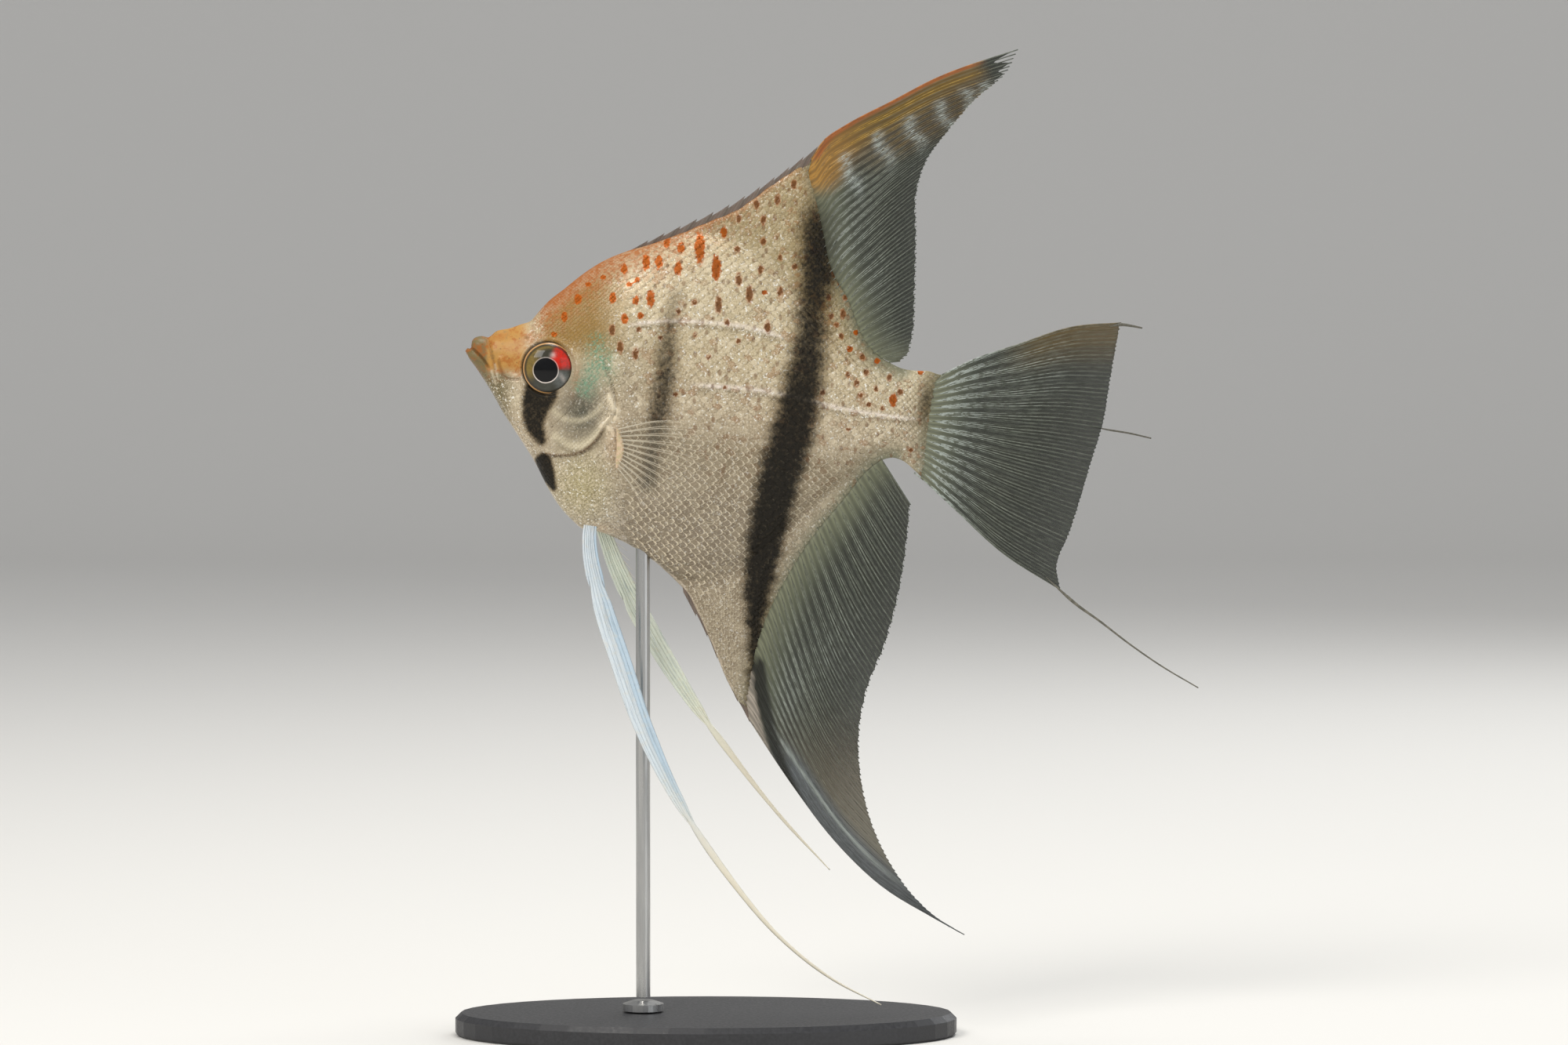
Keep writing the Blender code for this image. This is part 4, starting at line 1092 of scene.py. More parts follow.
def scale_roots(rng, pitch, row):
    """Staggered places over the whole flank, as u and the distance round from the axis."""
    columns = np.arange(1.0, 82.6, pitch / 2)
    u, a = np.meshgrid(columns, np.arange(-74.0, 46.0, 2 * row), indexing="ij")
    a = a + row * (np.arange(len(columns)) % 2)[:, None]
    u = u + rng.normal(0, SCALE_STRAY, u.shape) * pitch
    a = a + rng.normal(0, SCALE_STRAY, a.shape) * pitch
    f = flank()
    inside = (a > np.interp(u, f.stations, f.start) + 0.15)
    inside &= a < np.interp(u, f.stations, f.end) - 0.15
    return u[inside], a[inside]


def scale_shape(along, across):
    """A scale's outline as places in its own plane, and how near each is to the free edge."""
    l, s = np.meshgrid(np.linspace(0, 1, along), np.linspace(-1, 1, across), indexing="ij")
    x = l * (1 - 0.4 * np.abs(s) ** 1.6 * l)
    z = s * (0.86 + 0.14 * np.sin(math.pi * l)) * (1 - 0.16 * ease(l, 0.7, 1.0) * s**2)
    return x.ravel(), z.ravel(), np.maximum(l, np.abs(s) * 0.96).ravel()


def put_scales(shells, rng, u, a, side, size, long, wide, detail, settings):
    """Adds one field of scales. Each is a thin domed plate whose root lies in the skin."""
    coat = settings.coat
    x, z, edge = scale_shape(*detail)
    n, m = len(u), len(x)
    middle, _ = on_flank(u, a, side)
    lean = ray_lean(u, middle[:, 2]) + rng.normal(0, 0.05, n)
    grow = size * rng.normal(1, 0.04, n)
    dx = (x * long)[None] * grow[:, None]
    dz = (z * wide / 2)[None] * grow[:, None]
    c, s = np.cos(lean)[:, None], np.sin(lean)[:, None]
    du, dw = dx * c - dz * s, dx * s + dz * c
    point, normal = on_flank(u[:, None] + du, a[:, None] + dw - AXIS_SLOPE * du, side)
    fields = flesh_paint(point[..., 0], point[..., 2], settings.flesh)
    bold = 0.38 + 0.62 * fields["net"][:, :1]  # scales stand up most on the lower flank
    lift = coat.lift / MM * np.minimum(1.0, grow * long / 1.6)[:, None] * bold
    height = -SCALE_ROOT + (lift + SCALE_ROOT) * x[None] ** 0.8 + 0.02 * bold * (1 - z[None] ** 2)
    for way in (z, x):  # each scale sits a little askew
        height = height + 0.02 * bold * rng.normal(0, 1, n)[:, None] * way[None]
    upper = point + normal * height[..., None]
    lower = point + normal * (height - coat.thick / MM)[..., None]
    doubled = {name: np.concatenate([value, value], 1) for name, value in fields.items()}
    doubled["edge"] = np.broadcast_to(np.append(edge, edge), (n, 2 * m))
    doubled["tone"] = np.repeat(rng.random(n), 2 * m)
    shift = (np.arange(n) * 2 * m)[:, None, None]
    faces = [(group[None] + shift).reshape(-1, group.shape[1]) for group in plate_faces(*detail)]
    patch = np.stack([np.append(x, x), np.append(z, z)], -1) * SCALE_PATCH
    places = bake_place(u, a, side > 0)[:, None] + patch[None]
    shells.put(np.concatenate([upper, lower], 1), faces, places.reshape(-1, 2), **doubled)


def make_scales(settings):
    rng = np.random.default_rng(7)
    pitch, row = settings.coat.pitch / MM, settings.coat.row / MM
    finish = flesh_finish("scaled_skin", settings.flesh, scaled=True)
    fields = (  # (name, pitch and row as a share of the flank's, grid of points)
        ("flank", 1.0, (5, 5)), ("fin_base", 0.64, (4, 4)), ("head", 0.44, (4, 4)),
    )
    for word, side in (("left", -1), ("right", 1)):
        for name, share, detail in fields:
            u, a = scale_roots(rng, pitch * share, row * share)
            w = on_flank(u, a, side)[0][:, 2]
            fin, head = flesh_zone(u, w)
            dice = rng.random(len(u)) * 0.7 + 0.15
            keep = {"flank": (fin < dice) & (head < dice), "fin_base": fin >= dice,
                    "head": (head >= dice) & (fin < dice)}[name]
            keep &= (u > 11.3) | (w < -6.5) & (u > 8.5)  # the snout and lips are bare
            keep &= (np.hypot(u - EYE_U, w - EYE_W) > BARE_AT_EYE) & (u < LAST_SCALE)
            for ridge in BONE_RIDGES:
                keep &= to_line(u, w, ridge)[0] > BARE_AT_RIDGE
            long = pitch * share * SCALE_LONG
            room = seam_distance(u, w) / long
            keep &= room > 0.45 + 1.2 * rng.random(len(u)) ** 2
            shells = Shells()
            put_scales(shells, rng, u[keep], a[keep], side, np.minimum(1, room[keep] * 0.85),
                       long, row * share * SCALE_WIDE, detail, settings)
            piece(f"scales_{name}_{word}", shells, finish)


# ---- Fins ---------------------------------------------------------------------------------

FIN_STEPS = 241  # how finely a fin's outline is read
PLEAT = 0.05  # depth of a web's pleats, whose crests carry the rays


class FinShape:
    """A fin as a surface: s runs from its leading ray to its last, t out along the rays."""

    def __init__(self, spec, side=1, root=0.0, ripple=0.3):
        self.spec, self.side, self.root, self.ripple = spec, side, root, ripple
        self.steps = np.linspace(0, 1, FIN_STEPS)
        self.base, self.edge = smooth(spec["base"], FIN_STEPS), smooth(spec["edge"], FIN_STEPS)
        self.bends = []
        for word in ("lead", "trail"):
            path = smooth(spec[word], FIN_STEPS) if word in spec else np.zeros((FIN_STEPS, 2))
            self.bends.append(path - (path[0] + self.steps[:, None] * (path[-1] - path[0])))

    def read(self, table, where):
        where = np.clip(where, 0, 1)
        return np.stack([np.interp(where, self.steps, column) for column in table.T], -1)

    def at(self, s, t, off=0.0):
        """Points (u, y, w), moved off the fin's middle sheet across the fish."""
        s, t = np.broadcast_arrays(np.asarray(s, float), np.asarray(t, float))
        foot, tip = self.read(self.base, s), self.read(self.edge, s)
        flat = foot + t[..., None] * (tip - foot)
        pulls = ((1 - s) ** self.spec.get("lead_pull", 2), s**2)
        for pull, bend in zip(pulls, self.bends):
            flat = flat + pull[..., None] * self.read(bend, t)
        out = np.clip(t, 0, 1)
        sway = self.root + self.spec["sway"] * out**1.6
        wave = self.ripple * out * np.sin(7 * s + 2.4 * t + 0.6)
        y = self.side * (sway + wave) + off
        return np.stack([flat[..., 0], y, flat[..., 1]], -1)


def teeth(s, count, depth):
    """How far a web's edge dips at s, between count free ray tips."""
    return depth * (np.abs((s * count + 0.5) % 1 - 0.5) * 2) ** 0.7


def put_web(shells, shape, paint_fin, settings, dips, columns, rows=48, thick=None, inside=0.03, lines=4):
    """Adds a fin's web, a thin closed plate. dips(s) is how far its edge falls short there."""
    rays = shape.spec["rays"]
    s = np.linspace(0, 1, columns)
    foot, tip = shape.read(shape.base, s), shape.read(shape.edge, s)
    most = 1 - dips(s) / np.linalg.norm(tip - foot, axis=1)
    grid_s = np.repeat(s[:, None], rows, 1)
    inside = inside * ease(s, -0.01, 0.06)[:, None]
    grid_t = -inside + (most[:, None] + inside) * np.linspace(0, 1, rows) ** 0.85
    thick = settings.webs.web / MM if thick is None else thick
    fold = PLEAT * np.cos(2 * math.pi * s * (rays - 1))[:, None] * np.clip(grid_t * 3, 0, 1)
    half = thick / 2 * (1.3 - 0.6 * grid_t) + 0.07 * ease(0.07 - grid_t, 0, 0.07)
    front = shape.at(grid_s, grid_t, fold - half)
    back = shape.at(grid_s, grid_t, fold + half)
    fields = paint_fin(grid_s, grid_t, front[..., 0], front[..., 2], False)
    phase = grid_s * (rays - 1)
    fields.update(phase=phase, line=phase * lines + lines % 2 / 2, out=grid_t)
    both = {name: np.stack([value, value]) for name, value in fields.items()}
    flat = np.stack([grid_t.ravel(), grid_s.ravel()], -1) * (0.46, 0.96) + (0.03, 0.02)
    places = np.concatenate([flat, flat + (0.5, 0)])
    shells.put(np.stack([front, back]), plate_faces(columns, rows), places, **both)


def directions(line):
    """Unit vectors along a line and, in the side view, across it."""
    run = np.gradient(line, axis=0)
    run /= np.linalg.norm(run, axis=1)[:, None]
    over = np.cross(run, (0, 1, 0))
    return run, over / np.linalg.norm(over, axis=1)[:, None]


def strand(line, radii, sides, squash):
    """A strand's points: loops round a line, squashed across the fish."""
    run, over = directions(line)
    through = squash * np.cross(over, run)
    turns = np.linspace(0, math.tau, sides, endpoint=False)[:, None]
    ring = over[:, None] * np.cos(turns) + through[:, None] * np.sin(turns)
    return line[:, None] + np.broadcast_to(radii, len(line))[:, None, None] * ring


RAY_LOOPS, RAY_SIDES = 30, 4


def put_rays(shells, shape, paint_fin, settings, rng, fibres, thick, bundle, inside=0.08):
    """Adds a fin's rays, each a bundle of fibres that spread out towards the fin's edge."""
    rays = shape.spec["rays"]
    gap = 1 / (rays - 1)
    for k in range(rays):
        t = np.linspace(-inside * ease(k * gap, -0.01, 0.06), 1.0, RAY_LOOPS)
        out = np.clip(t, 0, 1)
        spread = ease(t, -0.03, 0.12) * (bundle + (1 - bundle) * ease(t, 0.16, 0.95))
        for j in range(fibres):
            aside = (j + 0.5) / fibres - 0.5 + rng.normal(0, 0.012)
            s = np.clip(k * gap + aside * spread * gap, 0, 1)
            line = shape.at(s, t * (1 + rng.uniform(-0.004, 0.003)), PLEAT * np.clip(t * 3, 0, 1))
            radius = settings.webs.ray / MM * thick * (1 - 0.3 * out) * rng.uniform(0.85, 1.1)
            fields = paint_fin(s, out, line[:, 0], line[:, 2], True)
            fields.update(out=t, phase=s / gap, faint=np.full(RAY_LOOPS, rng.uniform(0.0, 0.4)))
            values = {name: np.repeat(value, RAY_SIDES, axis=0) for name, value in fields.items()}
            shells.put(strand(line, radius, RAY_SIDES, 1.3), tube_faces(RAY_LOOPS, RAY_SIDES), **values)


WEB_SHADOW = (0.022, 0.024, 0.02)


def web_finish(name, settings):
    """Thin smoky web with fine pale lines, darker between the rays, with streaks of light."""
    paint = settings.fins
    f = Finish(name, Coat_Weight=0.06, Coat_Roughness=0.25, Specular_IOR_Level=0.25)
    out = f.field("out")
    streaks = f.noise(1, 3, 0.6, f.ray_space(9, 16))
    from_line, from_ray = (f.math("PINGPONG", f.field(word), 0.5) for word in ("line", "phase"))
    lines = f.times(f.span(from_line, 0.05, 0.5), f.span(streaks, 0.35, 0.6, 0.1, 0.32))
    f.lay(WEB_SHADOW, f.span(from_ray, 0.16, 0.46), f.span(out, 0.0, 1.0, 0.45, 0.2))
    f.lay(paint.ray, lines, f.span(out, 0.1, 0.6))
    f.lay(paint.web_pale, f.span(streaks, 0.5, 0.75, 0.0, 0.2))
    f.lay(paint.band, f.field("pale"), f.span(streaks, 0.44, 0.66, 0.1, 0.7))
    f.feed("Alpha", f.field("cover"))
    rough = f.span(f.noise(1100, 3, 0.5), 0.35, 0.65, 0.4, 0.55)
    return f.done(rough, f.plus(lines, f.noise(1800, 3, 0.6)), 0.05)


def ray_finish(name, settings, fade=False):
    """Pale bony fibres, some fainter than others, beaded with light and dark joints."""
    paint = settings.fins
    f = Finish(name, Coat_Weight=0.1, Coat_Roughness=0.2, Specular_IOR_Level=0.35)
    dull = paint.filament if fade else paint.web
    streaks = f.noise(1, 3, 0.6, f.ray_space(9, 22))
    f.lay(dull, f.field("faint"))
    f.lay(dull, f.span(streaks, 0.4, 0.6, 0.45, 0.0))
    f.lay(paint.band, f.field("pale"), f.span(streaks, 0.38, 0.58))
    if fade:
        f.feed("Alpha", f.field("cover"))
    rough = f.span(f.noise(900, 2, 0.5), 0.35, 0.65, 0.34, 0.5)
    return f.done(rough, f.noise(2600, 3, 0.6), 0.03)


def ground(t, u, w, settings, is_ray):
    """A soft fin's first coats: web or ray colour, and the flesh's own tint at the root."""
    paint = settings.fins
    root = np.maximum(near_fin(u, w) ** 0.6, ease(0.1 - t, 0, 0.1))
    return laid(
        plain(u, paint.ray if is_ray else paint.web),
        (paint.web_pale, (0.2 if is_ray else 0.75) * ease(0.3 - t, 0, 0.3)),
        (np.array(paint.web) * 0.45, (0.35 if is_ray else 0.7) * ease(t, 0.4, 0.85)),
        (np.array(settings.flesh.seam) * 1.15, (0.75 if is_ray else 0.95) * root),
    )


def cover_of(t, middle, rim):
    """How solid a fin is out along its rays: 1 at the root, then middle, then rim."""
    inner = 1 - (1 - middle) * ease(t, 0.03, 0.25)
    return np.where(t < 0.4, inner, middle - (middle - rim) * ease(t, 0.5, 1.0))


DORSAL_BANDS = (5.4, 12.5, 18.7, 24.6, 29.8, 33.6)  # pale bands, counted up from the fin's root


def dorsal_paint(settings):
    paint, flesh = settings.fins, settings.flesh

    def fields(s, t, u, w, is_ray):
        from_lead = to_line(u, w, DORSAL_FIN["lead"])[0]
        along = (u - 60) * 0.88 + (w - 33) * 0.47
        front = ease(36 - along, 0, 4)
        brown = paint.olive if is_ray else paint.web_brown
        gold = np.array(paint.yellow) if is_ray else np.array(paint.olive) * 0.72
        tint = laid(
            ground(t, u, w, settings, is_ray),
            (brown, 0.75 * front * ease(along, 4, 14) * ease(11 - from_lead, 0, 4)),
            (gold, 0.9 * front * ease(6.4 - 0.07 * along - from_lead, 0, 2.8)),
            (flesh.snout, 0.75 * front * ease(0.4 - t, 0, 0.35) * ease(8 - from_lead, 0, 4)),
            (paint.orange, 0.8 * front * ease(0.8 - from_lead, 0, 0.6)),
            (flesh.bar, 0.8 * main_bar(u, w)),
        )
        bands = np.maximum.reduce([
            swell(along - place + 0.4 * np.sin(from_lead * 1.3 + place), 1.0) for place in DORSAL_BANDS])
        bands = bands * ease(from_lead, 2.6, 4.4) * ease(12 - from_lead, 0, 5)
        low = blob(u, w, (66.5, 19), (3.2, 7.5), -4) + 0.5 * blob(u, w, (71.5, 12), (2.5, 5), -20)
        pale = 1.15 * bands + (0.4 if is_ray else 0.1) * low
        return {"tint": tint, "pale": pale, "cover": cover_of(t, 0.88, 0.76)}

    return fields


def anal_paint(settings):
    paint, flesh = settings.fins, settings.flesh
    bar = [(w, u) for u, w in ANAL_BAR]

    def fields(s, t, u, w, is_ray):
        from_lead = to_line(u, w, ANAL_FIN["lead"])[0]
        ahead = crossing(w, bar) - 1.0 - u
        streak = swell(from_lead, 0.32, 2.4) * ease(-w, 66, 71) * ease(w, -97, -86)
        tint = laid(
            ground(t, u, w, settings, is_ray),
            (np.array(paint.web_brown) * 1.5, (0.45 if is_ray else 0.8) * ease(-w, 58, 84)),
            (np.array(paint.thread) * 1.4, 0.85 * ease(-w, 66, 88)),
            (paint.blue, 0.7 * ease(4.6 - from_lead, 0, 2.0) * ease(-w, 66, 74)),
            (flesh.bar, 0.95 * tapered(u, w, ANAL_BAR, ANAL_BAR_HALF, 0.5)),
            (flesh.belly, 0.9 * ease(ahead, 0, 0.5) * ease(w, -78, -74)),
            (paint.band, 0.8 * streak),
        )
        glow = blob(u, w, (64.5, -52), (3.5, 7), -30) + blob(u, w, (56.5, -60), (2.4, 7), -10)
        return {"tint": tint, "pale": (0.3 if is_ray else 0.08) * glow, "cover": cover_of(t, 0.86, 0.74)}

    return fields


def tail_paint(settings):
    paint = settings.fins

    def fields(s, t, u, w, is_ray):
        olive = 0.4 * ease(0.2 - s, 0, 0.2) * ease(t, 0.3, 0.6)
        glow = (0.85 if is_ray else 0.12) * ease(0.5 - t, 0, 0.4)
        mottle = blob(s, t, (0.2, 0.42), (0.18, 0.2)) + 0.7 * blob(s, t, (0.16, 0.68), (0.12, 0.07))
        return {
            "tint": laid(ground(t, u, w, settings, is_ray), (paint.olive, olive)),
            "pale": np.maximum(glow, (0.45 if is_ray else 0.12) * mottle),
            "cover": cover_of(t, 0.84, 0.68),
        }

    return fields


def plain_paint(web, ray, covers):
    """One colour each for web and rays, and how the cover runs from root to edge."""

    def fields(s, t, u, w, is_ray):
        tint = plain(u, ray if is_ray else web)
        return {"tint": tint, "pale": np.zeros(np.shape(u)), "cover": np.interp(t, (0, 0.5, 1), covers)}

    return fields


def put_thread(shells, points, widths, tint, count=48, sides=8, squash=0.7):
    """Adds a round strand through points, its width running through widths."""
    share = np.linspace(0, 1, count)
    wide = np.interp(share, np.linspace(0, 1, len(widths)), widths)
    shells.put(strand(smooth(points, count), wide / 2, sides, squash), tube_faces(count, sides),
               tint=tint, pale=0, faint=0, cover=1, phase=0, out=np.repeat(share, sides))


def make_median_fins(settings):
    rng = np.random.default_rng(11)
    dip = settings.webs.dip / MM
    web, ray = web_finish("fin_web", settings), ray_finish("fin_ray", settings)
    fins = (  # (name, outline, paint, node, fibres in a ray, thickness, width of a bundle)
        ("dorsal", DORSAL_FIN, dorsal_paint(settings), "dorsal_fin_soft", 3, 0.95, 0.5),
        ("anal", ANAL_FIN, anal_paint(settings), "anal_fin_soft", 3, 0.95, 0.5),
        ("tail", TAIL_FIN, tail_paint(settings), "caudal_fin", 4, 0.9, 0.6),
    )
    for name, spec, fields, node, fibres, thick, bundle in fins:
        shape = FinShape(spec)
        gaps = spec["rays"] - 1
        tips = gaps * fibres

        def dips(s):
            ragged = 0.6 + 0.4 * np.sin(37 * s) * np.sin(61 * s + 1)
            between_fibres = teeth(s + 0.5 / tips, tips, 0.6 * dip * ragged)
            if name == "tail":
                return between_fibres
            torn_front = teeth(s, gaps, 5 * np.exp(-s / 0.05))
            return teeth(s, gaps, 0.9 * dip) + torn_front + between_fibres

        shells = Shells()
        put_web(shells, shape, fields, settings, dips, 4 * tips + 1, lines=fibres)
        piece(f"{name}_web", shells, web, (node,))
        shells = Shells()
        put_rays(shells, shape, fields, settings, rng, fibres, thick, bundle)
        if name == "tail":
            grey = np.array(settings.fins.thread)
            put_thread(shells, TAIL_STREAMER, (0.1, 0.6, 0.42, 0.34, 0.3, 0.26, 0.22), grey, squash=0.6)
            put_thread(shells, TAIL_POINT, (0.1, 0.6, 0.45, 0.3), grey * 0.8, 16)
            put_thread(shells, TAIL_THREAD, (0.1, 0.34, 0.32, 0.26), grey * 0.7, 20)
        piece(f"{name}_rays", shells, ray)


def make_spines(settings):
    """The low spiny fronts of the dorsal and anal fins, as thin overlapping steps."""
    paint = settings.fins
    web, ray = web_finish("spine_web", settings), ray_finish("spine_ray", settings)
    fields = plain_paint(paint.spine_web, paint.thread, (1.0, 0.9, 0.72))
    for name, spec, steps in (("dorsal", DORSAL_SPINES, 12), ("anal", ANAL_SPINES, 6)):
        shape = FinShape(spec, ripple=0.0)
        shells = Shells()
        put_web(shells, shape, fields, settings, lambda s: 1.75 - 0.85 * (s * steps % 1) ** 1.2,
                20 * steps + 1, rows=10, thick=0.2, inside=0.0)
        piece(f"{name}_spine_web", shells, web)
        shells = Shells()
        for k in range(1, steps + 1):
            t = np.linspace(-0.1, SPINE_TIP, 20)
            s = (k - 0.75 * (1 - t.clip(0, 1) / SPINE_TIP)) / steps
            put_thread(shells, shape.at(s, t - 0.06), (0.34, 0.28, 0.12), paint.ray, 20, 6)
        piece(f"{name}_spines", shells, ray)


def make_paired_fins(settings):
    """The clear pectoral fins and the long pelvic feelers."""
    rng = np.random.default_rng(17)
    paint, flesh = settings.fins, settings.flesh
    web, ray = web_finish("clear_web", settings), ray_finish("clear_ray", settings, fade=True)
    pad = pad_finish(settings)
    fields = plain_paint(flesh.rim, paint.clear_ray, (0.12, 0.06, 0.02))
    fibres = plain_paint(flesh.rim, paint.clear_ray, (0.85, 0.34, 0.0))
    for word, side in (("left", -1), ("right", 1)):
        shape = FinShape(PECTORAL_FIN, side, PECTORAL_ROOT, 0.25)
        shells = Shells()
        put_web(shells, shape, fields, settings, lambda s: teeth(s, 24, 0.3), 97, rows=30, thick=0.08)
        piece(f"pectoral_web_{word}", shells, web, (f"pectoral_fin_{word}",))
        shells = Shells()
        put_rays(shells, shape, fibres, settings, rng, 2, 0.5, 0.3, inside=0.0)
        piece(f"pectoral_rays_{word}", shells, ray)
        shells = Shells()
        foot = [(p - 0.15, side * (PECTORAL_ROOT - 0.3), q) for p, q in PECTORAL_FIN["base"]]
        put_thread(shells, foot, (0.3, 1.0, 1.3, 1.4, 1.1, 0.4), flesh.blush, 24, 12, 0.8)
        piece(f"pectoral_pad_{word}", shells, pad)
    blades = (  # (side, line, its root in the belly, front and rear colours, length of the step)
        ("left", PELVIC_LEFT, (22.0, -0.4, -29.0), paint.pelvic, paint.pelvic_rear, 0.125),
        ("right", PELVIC_RIGHT, (23.4, 0.5, -29.4), paint.pelvic_far, paint.pelvic_far, 0.2),
    )
    for word, line, root, front, rear, step in blades:
        shells = Shells()
        put_pelvic(shells, (root, *line), front, rear, paint.filament, step, rng)
        finish = pelvic_finish(f"pelvic_{word}", settings)
        piece(f"pelvic_{word}", shells, finish, (f"pelvic_fin_{word}",))


STRIP_SIDES = 8


def put_strip(shells, line, over, aside, width, depth, tint, out, lane=0):
    """A flat strip with a rounded face, beside a line. over is the way across it."""
    count = len(line)
    over, tint = np.broadcast_to(over, (count, 3)), np.broadcast_to(tint, (count, 3))
    turns = np.linspace(0, math.tau, STRIP_SIDES, endpoint=False)
    across = np.tile(np.cos(turns), count)
    ring = np.cos(turns)[None, :, None] * (width / 2)[:, None, None] * over[:, None]
    rise = np.sin(turns)[None, :, None] * depth[:, None, None] * np.array((0, 1, 0))
    middle = line + over * np.broadcast_to(aside, count)[:, None]
    shells.put(middle[:, None] + ring + rise, tube_faces(count, STRIP_SIDES),
               tint=np.repeat(tint, STRIP_SIDES, axis=0), across=across, phase=lane + across / 2,
               out=np.repeat(np.broadcast_to(out, count), STRIP_SIDES))


PELVIC_LOOPS, PELVIC_STRIPS, HAIR_LOOPS = 150, 5, 14
THREAD_SHARE = 0.24  # of the blade's width, left to the thread in its middle


def put_pelvic(shells, points, tint, rear_tint, tip_tint, step, rng):
    """A blade of overlapping strips that draws out into a thread, with short free rays."""
    count = PELVIC_LOOPS
    line = smooth(points, count)
    run, over = directions(line)
    if over[0, 0] < 0:
        over = -over
    share = np.linspace(0, 1, count)
    wide = np.interp(share, np.linspace(0, 1, len(PELVIC_WIDTHS)), PELVIC_WIDTHS)
    wide = wide * np.interp(share, (0.86, 1), (0.97, 0.4))
    deep = np.interp(share, (0, 0.12, 0.5, 1), (0.34, 0.32, 0.26, 0.2))
    apart = 1 - ease(share, 0.5, 0.62)
    past = np.interp(share, (step, step + 0.03), (0.78, 1.0))
    inner = np.where(share < step, 0.62 + 0.1 * share / step, past)
    for j in range(PELVIC_STRIPS):
        place = (j + 0.5) / PELVIC_STRIPS - 0.5
        hue = np.array(tint) * rng.uniform(0.9, 1.04)
        rear = (0.9 if j >= 3 else 0.0) * ease(share, 0.08, 0.2)
        paint = laid(plain(share, hue), (rear_tint, rear), (tip_tint, ease(share, 0.42, 0.68)))
        level = (0.06 if j % 2 else -0.06) * ease(0.6 - share, 0, 0.3)
        if j == PELVIC_STRIPS // 2:
            n, grow = count, 1 - (1 - THREAD_SHARE) * apart
        else:
            n = int(0.6 * count)
            grow = THREAD_SHARE * ease(0.6 - share[:n], 0.002, 0.1)
        put_strip(shells, line[:n] + level[:n, None] * np.array((0, 1, 0)), over[:n],
                  (place * wide * inner * apart)[:n], (wide * inner)[:n] * grow,
                  deep[:n] * np.clip(grow / THREAD_SHARE, 0.1, 1), paint[:n], share[:n], j)
    for place, hue, extra in ((-0.42, tint, 1), (0.42, rear_tint, 2)):
        n = int(step * count) + extra
        taper = np.interp(share[:n] / share[n - 1], (0, 0.85, 1), (1, 0.9, 0.12))
        put_strip(shells, line[:n], over[:n], place * wide[:n], 0.2 * wide[:n] * taper,
                  0.8 * deep[:n], np.array(hue) * 0.97, share[:n])
    if points[1][1] < 0:
        return
    width, depth = np.linspace(0.16, 0.05, HAIR_LOOPS), np.linspace(0.06, 0.02, HAIR_LOOPS)
    for k in range(7):  # only the far fin shows free rays at its root
        i = int((0.02 + 0.02 * k) * count)
        foot = line[i] + over[i] * wide[i] * 0.3
        way = run[i] * (2.4 + 0.25 * k) + over[i] * (2.4 - 0.22 * k)
        hair = smooth([foot, foot + way * 0.5 - run[i] * 0.15, foot + way], HAIR_LOOPS)
        put_strip(shells, hair, over[i], 0, width, depth, tip_tint, 0.1)


def pad_finish(settings):
    """The pinkish muscle at the pectoral fin's root."""
    f = Finish("fin_pad", Coat_Weight=0.2, Coat_Roughness=0.15, Specular_IOR_Level=0.3)
    spots, grain = f.noise(1400, 4, 0.65), f.noise(2200, 3, 0.6)
    f.lay(settings.flesh.chest, f.span(spots, 0.42, 0.6, 0.0, 0.7))
    f.lay(settings.flesh.crown, f.span(grain, 0.52, 0.7, 0.0, 0.4))
    return f.done(f.span(spots, 0.3, 0.7, 0.34, 0.48), grain, 0.04)


PELVIC_GROOVE, PELVIC_STREAK = (0.16, 0.2, 0.23), (0.3, 0.36, 0.4)


def pelvic_finish(name, settings):
    """Glossy bluish white with fine grey lines along the strips."""
    f = Finish(name, Coat_Weight=0.3, Coat_Roughness=0.12)
    out, side = f.field("out"), f.math("ABSOLUTE", f.field("across"))
    groove = f.times(f.span(side, 0.8, 0.98), f.span(f.noise(300, 3, 0.6), 0.3, 0.6, 0.3, 0.85))
    f.lay(PELVIC_GROOVE, groove, f.span(out, 0.4, 0.6, 0.8, 0.2))
    streaks = f.span(f.noise(1, 4, 0.65, f.ray_space(5, 14)), 0.5, 0.36, 0.0, 0.55)
    f.lay(PELVIC_STREAK, streaks, f.span(out, 0.4, 0.6, 1.0, 0.15))
    f.lay(settings.flesh.rim, f.span(f.noise(900, 4, 0.6), 0.5, 0.72, 0.0, 0.25))
    rough = f.span(f.noise(900, 3, 0.5), 0.3, 0.7, 0.24, 0.42)
    return f.done(rough, f.noise(2200, 3, 0.6), 0.04)


# ---- Eyes ---------------------------------------------------------------------------------

PUPIL_U, PUPIL_W = 14.25, -3.2
EYE_SIDES = 96


def make_eyes(settings):
    finish = eye_finish(settings.eyes)
    leans = np.radians(np.append(np.linspace(88.5, 20, 60), np.linspace(14, -80, 12)))
    turns = np.linspace(0, math.tau, EYE_SIDES, endpoint=False)
    for word, side in (("left", -1), ("right", 1)):
        ring = EYE_RADIUS * np.cos(leans)[:, None]
        u = EYE_U + ring * np.cos(turns)
        w = EYE_W + ring * np.sin(turns)
        y = side * (EYE_Y + EYE_DEPTH * np.sin(leans)[:, None]) * np.ones_like(u)
        shells = Shells()
        shells.put(np.stack([u, y, w], -1), tube_faces(len(leans), EYE_SIDES),
                   **iris_paint(u.ravel(), w.ravel(), settings.eyes))
        piece(f"eyeball_{word}", shells, finish, (f"eye_{word}",))


